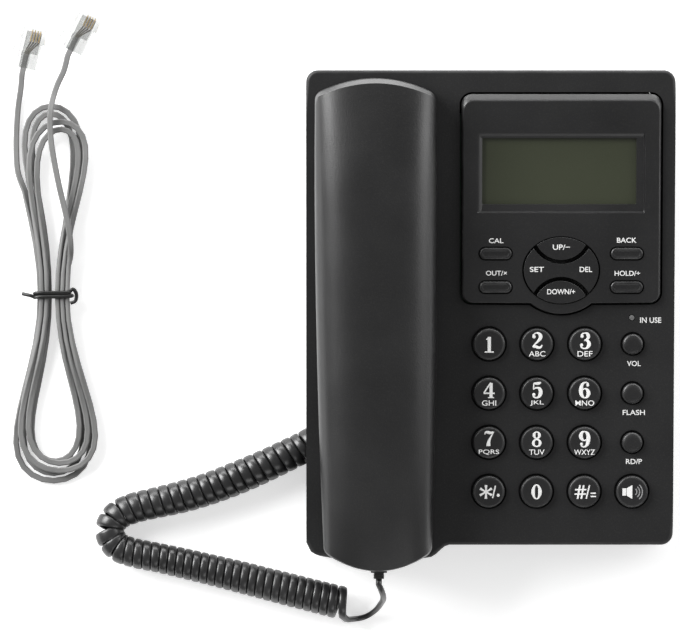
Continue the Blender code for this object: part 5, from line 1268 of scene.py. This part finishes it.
def drawn(strokes, height):
    """Lettering drawn with a broad pen: strokes of changing width, flattened on the key."""
    curve = bpy.data.curves.new("pen_strokes", "CURVE")
    curve.dimensions = "3D"
    curve.bevel_depth = height * MM
    curve.bevel_resolution = 3
    curve.use_fill_caps = True
    for closed, stroke in strokes:
        points = [Vector(point) for point in stroke]
        if not closed and len(points) > 2:
            points = smooth_route(points, 0.035)
        spline = curve.splines.new("POLY")
        spline.points.add(len(points) - 1)
        spline.use_cyclic_u = closed
        for place, (x, y, half) in zip(spline.points, points):
            place.co = (x * height * MM, y * height * MM, 0, 1)
            place.radius = half
    holder = bpy.data.objects.new("pen_strokes", curve)
    bpy.context.scene.collection.objects.link(holder)
    alone(holder)
    bpy.ops.object.convert(target="MESH")
    piece = bpy.context.object
    for vert in piece.data.vertices:
        vert.co.z = vert.co.z * 0.1 + 0.02 * MM
    alone(piece)
    bpy.ops.object.shade_smooth()
    return piece


def line(*points):
    """An open stroke through points in hundredths of a figure's height, each with the pen's half width."""
    return False, [tuple(part / 100 for part in point) for point in points]


def ball(x, y, half):
    """A round spot, drawn as a very short stroke."""
    turns = [math.pi * step / 8 for step in range(9)]
    return line(*[(x + half * math.cos(turn) * 0.98, y, half * math.sin(turn) + 0.2) for turn in turns])


def ring(x, y, across, along, side, end):
    """A closed stroke round a middle, of one half width at its sides and another at its ends."""
    spots = [(x + across * math.cos(turn), y + along * math.sin(turn),
              side + (end - side) * abs(math.sin(turn)) ** 1.5) for turn in around(48)]
    return True, line(*spots)[1]


def digit_strokes():
    """Heavy roman figures about their middle: place and half width along each stroke, in hundredths."""
    six = [line((22, 36, 5), (12, 46.5, 4), (-2, 46, 5), (-16, 33, 9), (-23, 8, 12), (-23, -18, 12),
                (-15, -38, 9), (0, -47.5, 4), (14, -42, 8), (22, -27, 11.5), (22, -12, 11.5), (13, 3, 8),
                (0, 8, 4), (-12, 2, 4), (-20, -10, 4)), ball(18, 30, 9)]
    nine = [(closed, [(-x, -y, half) for x, y, half in stroke]) for closed, stroke in six]
    return {
        "1": [line((0, 47, 10.5), (0, 0, 10.5), (0, -46, 10.5)), line((-19, 30, 3), (-8, 36, 5), (0, 46, 3)),
              line((-28, -46.5, 4), (0, -46.5, 4), (28, -46.5, 4))],
        "2": [ball(-19, 24, 10.5),
              line((-24, 22, 5), (-22, 36, 4.5), (-8, 47, 4), (8, 46, 7), (20, 34, 11), (20, 17, 11),
                   (8, 0, 8), (-10, -18, 5), (-27, -38, 4)),
              line((-27, -37, 6), (-10, -36, 8.5), (8, -42, 8.5), (22, -40, 6), (31, -26, 3.5))],
        "3": [ball(-18, 27, 10), ball(-21, -27, 10),
              line((-23, 28, 5), (-17, 42, 4.5), (-2, 47.5, 4), (13, 44, 8), (20, 30, 11), (17, 14, 8),
                   (2, 4, 4), (-6, 3, 3.5)),
              line((-6, 3, 3.5), (5, 3, 4), (20, -6, 9), (25, -22, 11.5), (17, -39, 9), (0, -47.5, 4.5),
                   (-17, -44, 4.5), (-26, -32, 5))],
        "4": [line((10, 46, 4.5), (-11, 14, 4.5), (-31, -17, 4.5)),
              line((12, 44, 10), (12, 0, 10), (12, -46, 10)),
              line((-33, -20, 4.5), (0, -20, 4.5), (34, -20, 4.5)),
              line((-6, -46.5, 3.5), (12, -46.5, 3.5), (30, -46.5, 3.5))],
        "5": [line((-20, 41, 5), (-5, 40, 8), (10, 41, 9), (24, 47, 4)),
              line((-19, 44, 3.5), (-20, 24, 3.5), (-21, 3, 3.5)),
              line((-21, 3, 3), (-12, 11, 4), (3, 14, 6), (17, 7, 10), (23, -13, 12), (17, -35, 10),
                   (2, -47, 5), (-15, -45, 4.5), (-24, -34, 5)), ball(-19, -28, 10)],
        "6": six,
        "7": [line((-25, 30, 3.5), (-22, 42, 5), (-8, 43, 9), (10, 39, 8), (27, 44, 4.5)),
              line((28, 45, 3.5), (12, 14, 5), (0, -12, 9), (-3, -32, 12), (-3, -42, 12.5))],
        "8": [ring(0, 24.5, 16.5, 20, 9, 4), ring(0, -23.5, 21, 21.5, 9, 4)],
        "9": nine,
        "0": [ring(0, 0, 21, 43, 11.5, 4)],
    }


def make_key_legends():
    for digit, strokes in digit_strokes().items():
        letters, width = KEY_LETTERS.get(digit, ("", 0))
        stamp(drawn(strokes, 7.1), "digit_" + digit, "key_" + digit, rise=1.6 if letters else 0)
        if letters:
            stamp(words(letters, width, 2.3, weight=0.004), "letters_" + digit, "key_" + digit, rise=-4.05)
    turns = [math.pi * step / 3 for step in range(6)]
    star = [line(*[(reach * math.sin(turn) - 19, reach * math.cos(turn), half)
                   for reach, half in ((0, 5), (26, 6.5), (46, 9))]) for turn in turns]
    star += [line((26, -42, 4.5), (35, 0, 4.5), (44, 42, 4.5)), ball(63, -23, 10.5)]
    bars = [(-45, -46, 8, 46, 6), (-20, -46, 8, 46, 6), (-62, 15, 37.5, 0, 5), (-65, -15, 37.5, 0, 5),
            (13, -46, 11, 46, 4.5), (42, -9, 18, 0, 4.5), (42, -31, 18, 0, 4.5)]
    hatch = [line(*[(x + run * step, y + rise * step, half) for step in range(3)])
             for x, y, run, rise, half in bars]
    stamp(drawn(star, 6.5), "sign_star", "key_star")
    stamp(drawn(hatch, 6.5), "sign_hash", "key_hash")
    box = plate("horn_box", [(-4.2, -1.6), (-2.6, -1.6), (-2.6, 1.6), (-4.2, 1.6)], -0.04, 0.06)
    cone = plate("horn_cone", [(-2.35, -1.6), (0.1, -3.05), (0.1, 3.05), (-2.35, 1.6)], -0.04, 0.06)
    stamp(gather("horn", [box, cone]), "speaker_sign", "speaker_key")
    turns = [step * DEGREE for step in range(-48, 49, 8)]
    waves = [line(*[(reach * math.cos(turn), reach * math.sin(turn), 24 / 7) for turn in turns])
             for reach in (180 / 7, 300 / 7, 420 / 7)]
    stamp(drawn(waves, 7), "speaker_waves", "speaker_key", aside=0.3, material=legend_grey)


def make_labels():
    for text, x, y, width, height, level, body in LABELS:
        name = f"label_{round(x * 10)}_{round(y * 10)}"
        print_on(words(text, width, height), name, DECK @ spot(x, y, level), body)


# Camera, floor and light


def make_stage():
    scene = bpy.context.scene
    scene.view_settings.view_transform = "Standard"
    camera = bpy.data.objects.new("camera", bpy.data.cameras.new("camera"))
    camera.data.lens = CAMERA_LENS
    camera.data.clip_end = 20
    camera.location = CAMERA_PLACE
    scene.collection.objects.link(camera)
    scene.camera = camera
    bpy.ops.mesh.primitive_plane_add(size=6)
    floor = bpy.context.object
    floor.name = "floor"
    floor.data.materials.append(floor_material())
    world = bpy.data.worlds.new("studio")
    world.use_nodes = True
    world.node_tree.nodes["Background"].inputs["Color"].default_value = ROOM_COLOUR
    scene.world = world
    for settings in LAMPS:
        lamp(*settings)


def lamp(name, place, width, height, power):
    light = bpy.data.lights.new(name, "AREA")
    light.shape = "RECTANGLE"
    light.size = width
    light.size_y = height
    light.energy = power
    holder = bpy.data.objects.new(name, light)
    holder.location = place
    holder.rotation_euler = (-Vector(place)).to_track_quat("-Z", "Y").to_euler()
    bpy.context.scene.collection.objects.link(holder)


def floor_material():
    """A white floor that glows a little where it is seen straight, in a shine or through clear plastic."""
    material, tree, surface = new_surface("studio_floor")
    path = wire(tree, "ShaderNodeLightPath").outputs
    seen = reckon(tree, "MAXIMUM", path["Is Camera Ray"], path["Is Glossy Ray"])
    through = reckon(tree, "MAXIMUM", seen, path["Is Transmission Ray"])
    feed(tree, surface, {"Base Color": (0.9, 0.9, 0.9, 1), "Roughness": 0.9, "Specular IOR Level": 0.1,
                         "Emission Color": (1, 1, 1, 1),
                         "Emission Strength": reckon(tree, "MULTIPLY", through, FLOOR_GLOW)})
    return material


# Materials


def new_surface(name):
    """A new material with its node tree and its surface node."""
    material = bpy.data.materials.new(name)
    material.use_nodes = True
    return material, material.node_tree, material.node_tree.nodes["Principled BSDF"]


def feed(tree, node, inputs):
    """Link or set the inputs of a node."""
    for key, value in inputs.items():
        if isinstance(value, bpy.types.NodeSocket):
            tree.links.new(value, node.inputs[key])
        else:
            node.inputs[key].default_value = value
    return node


def wire(tree, kind, inputs=None, **settings):
    """Add a shader node with its settings, values and incoming links."""
    made = tree.nodes.new(kind)
    for key, value in settings.items():
        setattr(made, key, value)
    return feed(tree, made, inputs or {})


def noise(tree, place, scale, detail, roughness=0.5):
    return wire(tree, "ShaderNodeTexNoise", {"Vector": place, "Scale": scale, "Detail": detail,
                                             "Roughness": roughness}).outputs[0]


def spread_out(tree, value, low, high):
    """A value whose range from low to high becomes nought to one."""
    return wire(tree, "ShaderNodeMapRange", {"Value": value, "From Min": low, "From Max": high}).outputs[0]


def ranging(tree, value, low, high):
    """A value whose range from nought to one becomes low to high."""
    return wire(tree, "ShaderNodeMapRange", {"Value": value, "To Min": low, "To Max": high}).outputs[0]


def reckon(tree, how, *values):
    return wire(tree, "ShaderNodeMath", dict(enumerate(values)), operation=how).outputs[0]


def relief(tree, height, strength, depth):
    settings = {"Height": height, "Strength": strength, "Distance": depth * MM}
    return wire(tree, "ShaderNodeBump", settings).outputs[0]


def new_effect(name, inputs, outputs):
    """An empty shared effect with named inputs and outputs."""
    tree = bpy.data.node_groups.new(name, "ShaderNodeTree")
    for name, value in inputs.items():
        socket = tree.interface.new_socket(name, in_out="INPUT", socket_type="NodeSocketFloat")
        socket.default_value = value
    for name in outputs:
        tree.interface.new_socket(name, in_out="OUTPUT", socket_type="NodeSocketFloat")
    return tree, tree.nodes.new("NodeGroupInput"), tree.nodes.new("NodeGroupOutput")


def effect(tree, group, inputs):
    """Use a shared effect and return its outputs."""
    return wire(tree, "ShaderNodeGroup", inputs, node_tree=group).outputs


def make_moulded_grain():
    """The fine even grain of a moulded face, with a slow change of tone over it."""
    results = ["Height", "Tone", "Speckle"]
    tree, given, out = new_effect("moulded_grain", {"Scale": 2000, "Spread": 25}, results)
    place = wire(tree, "ShaderNodeTexCoord").outputs["Object"]
    fine = noise(tree, place, given.outputs["Scale"], 2, 0.6)
    cells = wire(tree, "ShaderNodeTexVoronoi", {"Vector": place, "Scale": given.outputs["Scale"]})
    broad = noise(tree, place, given.outputs["Spread"], 4)
    feed(tree, out, {"Height": reckon(tree, "ADD", fine, cells.outputs["Distance"]),
                     "Tone": spread_out(tree, broad, 0.3, 0.7), "Speckle": spread_out(tree, fine, 0.3, 0.7)})
    return tree


def make_wear_and_edge_highlight():
    """Patchy polish along the edges that hands and cloths touch; the mask also lightens them, as scuffing
    and as a painted edge highlight.
    """
    tree, given, out = new_effect("wear_and_edge_highlight", {"Amount": 0.5}, ["Worn_and_lit"])
    place = wire(tree, "ShaderNodeTexCoord").outputs["Object"]
    edge = wire(tree, "ShaderNodeAttribute", attribute_name="edge").outputs["Fac"]
    worn_and_lit = reckon(tree, "MULTIPLY", edge, spread_out(tree, noise(tree, place, 90, 3), 0.35, 0.65))
    feed(tree, out, {"Worn_and_lit": reckon(tree, "MULTIPLY", worn_and_lit, given.outputs["Amount"])})
    return tree


def make_dust():
    """A faint settled film on what faces up, in soft patches."""
    tree, given, out = new_effect("dust", {"Amount": 0.1}, ["Dusty"])
    place = wire(tree, "ShaderNodeTexCoord").outputs["Object"]
    facing = wire(tree, "ShaderNodeNewGeometry").outputs["Normal"]
    flat = spread_out(tree, wire(tree, "ShaderNodeSeparateXYZ", {0: facing}).outputs["Z"], 0.6, 1)
    settled = reckon(tree, "MULTIPLY", flat, spread_out(tree, noise(tree, place, 1600, 4), 0.5, 0.72))
    feed(tree, out, {"Dusty": reckon(tree, "MULTIPLY", settled, given.outputs["Amount"])})
    return tree


def mixed(tree, share, first, second):
    """A colour between two others."""
    colours = [value if isinstance(value, bpy.types.NodeSocket) else (*value, 1)
               for value in (first, second)]
    return wire(tree, "ShaderNodeMix", {0: share, 6: colours[0], 7: colours[1]}, data_type="RGBA").outputs[2]


def moulded(name, colour, roughness, grain=2000, depth=0.02, tone=0.12, speckle=0.1, wear_and_highlight=0.5, film=0.03,
            shine=0.5, coat=0, spread=25):
    """Moulded plastic or rubber: grain, slow tone, polished edges lightened as scuffing and as a painted
    edge highlight, and a film of dust.
    """
    material, tree, surface = new_surface(name)
    grained = effect(tree, moulded_grain, {"Scale": grain, "Spread": spread})
    worn_and_lit = effect(tree, wear_and_edge_highlight, {"Amount": wear_and_highlight})["Worn_and_lit"]
    dusty = effect(tree, dust, {"Amount": film})["Dusty"]
    dark, light = ([part * (1 + change) for part in colour] for change in (-tone, tone))
    broad = mixed(tree, grained["Tone"], dark, light)
    bright = [min(part * (1 + 4 * speckle), 1) for part in colour]
    flecked = mixed(tree, reckon(tree, "MULTIPLY", grained["Speckle"], speckle), broad, bright)
    # painted edge highlight, with scuffing: the marked edges are mixed towards a lighter colour
    rubbed_and_lit = mixed(tree, worn_and_lit, flecked, [part * 0.7 + 0.05 for part in colour])
    rough = ranging(tree, grained["Tone"], roughness - 0.05, roughness + 0.05)
    feed(tree, surface, {"Base Color": mixed(tree, dusty, rubbed_and_lit, DUST_COLOUR),
                         "Roughness": reckon(tree, "MULTIPLY_ADD", worn_and_lit, -0.2, rough),
                         "Normal": relief(tree, grained["Height"], 0.5, depth), "Specular IOR Level": shine,
                         "Coat Weight": coat, "Coat Roughness": 0.12})
    return material


def metal(name, colour, roughness, stretch=(1, 1, 1), scale=900):
    """Bare metal with drawn or brushed lines and a little tarnish."""
    material, tree, surface = new_surface(name)
    place = wire(tree, "ShaderNodeTexCoord").outputs["Object"]
    drawn_out = wire(tree, "ShaderNodeMapping", {"Vector": place, "Scale": stretch}).outputs[0]
    lines = noise(tree, drawn_out, scale, 3)
    patches = spread_out(tree, noise(tree, place, 80, 4), 0.4, 0.7)
    feed(tree, surface, {"Base Color": mixed(tree, patches, colour, [part * 0.65 for part in colour]),
                         "Roughness": ranging(tree, lines, roughness - 0.08, roughness + 0.12),
                         "Normal": relief(tree, lines, 0.3, 0.01), "Metallic": 1})
    return material


def clear_moulding(name):
    """Clear plastic with faint flow marks and painted shade where it is seen edge-on, that lets most of the
    lamps' light through to the floor.
    """
    material, tree, surface = new_surface(name)
    # painted shade: the colour darkens where the plastic is seen edge-on, standing for the dark edges that
    # refraction gives
    painted_edge_shade = wire(tree, "ShaderNodeLayerWeight", {"Blend": 0.35}).outputs["Facing"]
    grained = effect(tree, moulded_grain, {"Scale": 700})
    feed(tree, surface, {"Base Color": mixed(tree, painted_edge_shade, (0.6, 0.605, 0.6), (0.15, 0.155, 0.15)),
                         "Roughness": ranging(tree, grained["Tone"], 0.03, 0.12),
                         "Normal": relief(tree, grained["Height"], 0.15, 0.01),
                         "Transmission Weight": 1, "IOR": 1.49})
    passing = wire(tree, "ShaderNodeBsdfTransparent").outputs[0]
    share = reckon(tree, "MULTIPLY", wire(tree, "ShaderNodeLightPath").outputs["Is Shadow Ray"], 0.9)
    both = wire(tree, "ShaderNodeMixShader", {0: share, 1: surface.outputs[0], 2: passing}).outputs[0]
    feed(tree, tree.nodes["Material Output"], {"Surface": both})
    return material


def dress(material, *names):
    """Give carried-over inner pieces a finished material."""
    for name in names:
        finish_piece(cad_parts[name], None, material)


# The telephone

make_stage()
moulded_grain = make_moulded_grain()
wear_and_edge_highlight = make_wear_and_edge_highlight()
dust = make_dust()
plastic_casing = moulded("casing_plastic", (0.0105, 0.0105, 0.011), 0.5, grain=1700, depth=0.03,
                         speckle=0.12, shine=0.45)
plastic_panel = moulded("panel_plastic", (0.0075, 0.0075, 0.008), 0.4, grain=1900, speckle=0.12, shine=0.7)
plastic_handset = moulded("handset_plastic", (0.005, 0.005, 0.0053), 0.36, grain=1500, depth=0.045,
                          speckle=0.3, wear_and_highlight=0.3, shine=0.9)
plastic_key = moulded("key_plastic", (0.013, 0.013, 0.0135), 0.4, grain=2200, speckle=0.12, wear_and_highlight=0.8)
plastic_inner = moulded("inner_plastic", (0.03, 0.03, 0.032), 0.5, grain=1500)
jack_plastic = moulded("jack_plastic", (0.011, 0.011, 0.012), 0.35, grain=2200)
foot_rubber = moulded("foot_rubber", (0.016, 0.015, 0.015), 0.8, grain=2500, depth=0.04, film=0.1)
mat_rubber = moulded("mat_rubber", (0.012, 0.012, 0.012), 0.7, grain=1500)
board_green = moulded("board_green", (0.012, 0.06, 0.028), 0.3, grain=600, tone=0.3, coat=0.4)
display_window = moulded("display_window", (0.04, 0.0455, 0.0265), 0.3, grain=500, depth=0.004, tone=0.06,
                         speckle=0.02, wear_and_highlight=0, film=0.02, coat=0.3, spread=14)
lamp_lens = moulded("lamp_lens", (0.16, 0.16, 0.16), 0.25, grain=900, tone=0.2, wear_and_highlight=0)
legend_white = moulded("legend_white", (0.93, 0.93, 0.92), 0.55, grain=3000, depth=0.006, tone=0.04,
                       speckle=0.05, wear_and_highlight=0, film=0.04)
legend_grey = moulded("legend_grey", (0.30, 0.30, 0.30), 0.55, grain=3000, depth=0.006, tone=0.15,
                      wear_and_highlight=0, film=0.04)
black = moulded("cord_black", (0.014, 0.014, 0.0145), 0.34, grain=900, depth=0.01, wear_and_highlight=0, shine=0.9)
grey = moulded("cord_grey", (0.2, 0.2, 0.198), 0.5, grain=900, tone=0.15, wear_and_highlight=0, film=0.05, spread=60)
tie_plastic = moulded("tie_plastic", (0.01, 0.01, 0.01), 0.35, grain=1200, wear_and_highlight=0)
wire_jacket = moulded("wire_jacket", (0.14, 0.13, 0.11), 0.4, grain=900, wear_and_highlight=0)
clear_plastic = clear_moulding("clear_plastic")
gold_contact = metal("gold_contact", (0.78, 0.56, 0.24), 0.3)
screw_steel = metal("screw_steel", (0.55, 0.55, 0.56), 0.3)
sheet_steel = metal("sheet_steel", (0.5, 0.5, 0.5), 0.4, stretch=(1, 12, 1))
can_steel = metal("can_steel", (0.66, 0.66, 0.65), 0.35, stretch=(10, 1, 1))

make_casing_top()
make_casing_bottom()
make_feet_and_screws()
make_panel()
make_display()
make_oval_keys()
make_menu_keys()
make_round_keys()
make_key_legends()
make_labels()
make_lamp()
make_jacks()
make_handset_back()
make_handset_front()
handset_cord_pieces = make_cord_plugs()
line_cord_pieces = [*make_line_plugs(), make_tie()]
dress(board_green, "main_board")
dress(mat_rubber, "keypad_mat")
dress(can_steel, "lcd_module", "receiver_capsule", "microphone_capsule")
dress(sheet_steel, "base_speaker", "ballast_plate")
dress(plastic_inner, "hook_switch", "hook_plunger", "handset_jack", "handset_socket")

handset_cord, handset_route = make_handset_cord()
finish_piece(handset_cord, None, black, "curly_cord", "curly_cord_tail", slot="cord")
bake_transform(handset_cord)
line_cord, line_route = make_line_cord()
finish_piece(line_cord, "base", grey, "line_cord_hank", "line_cord_tail_a", "line_cord_tail_b", slot="line")
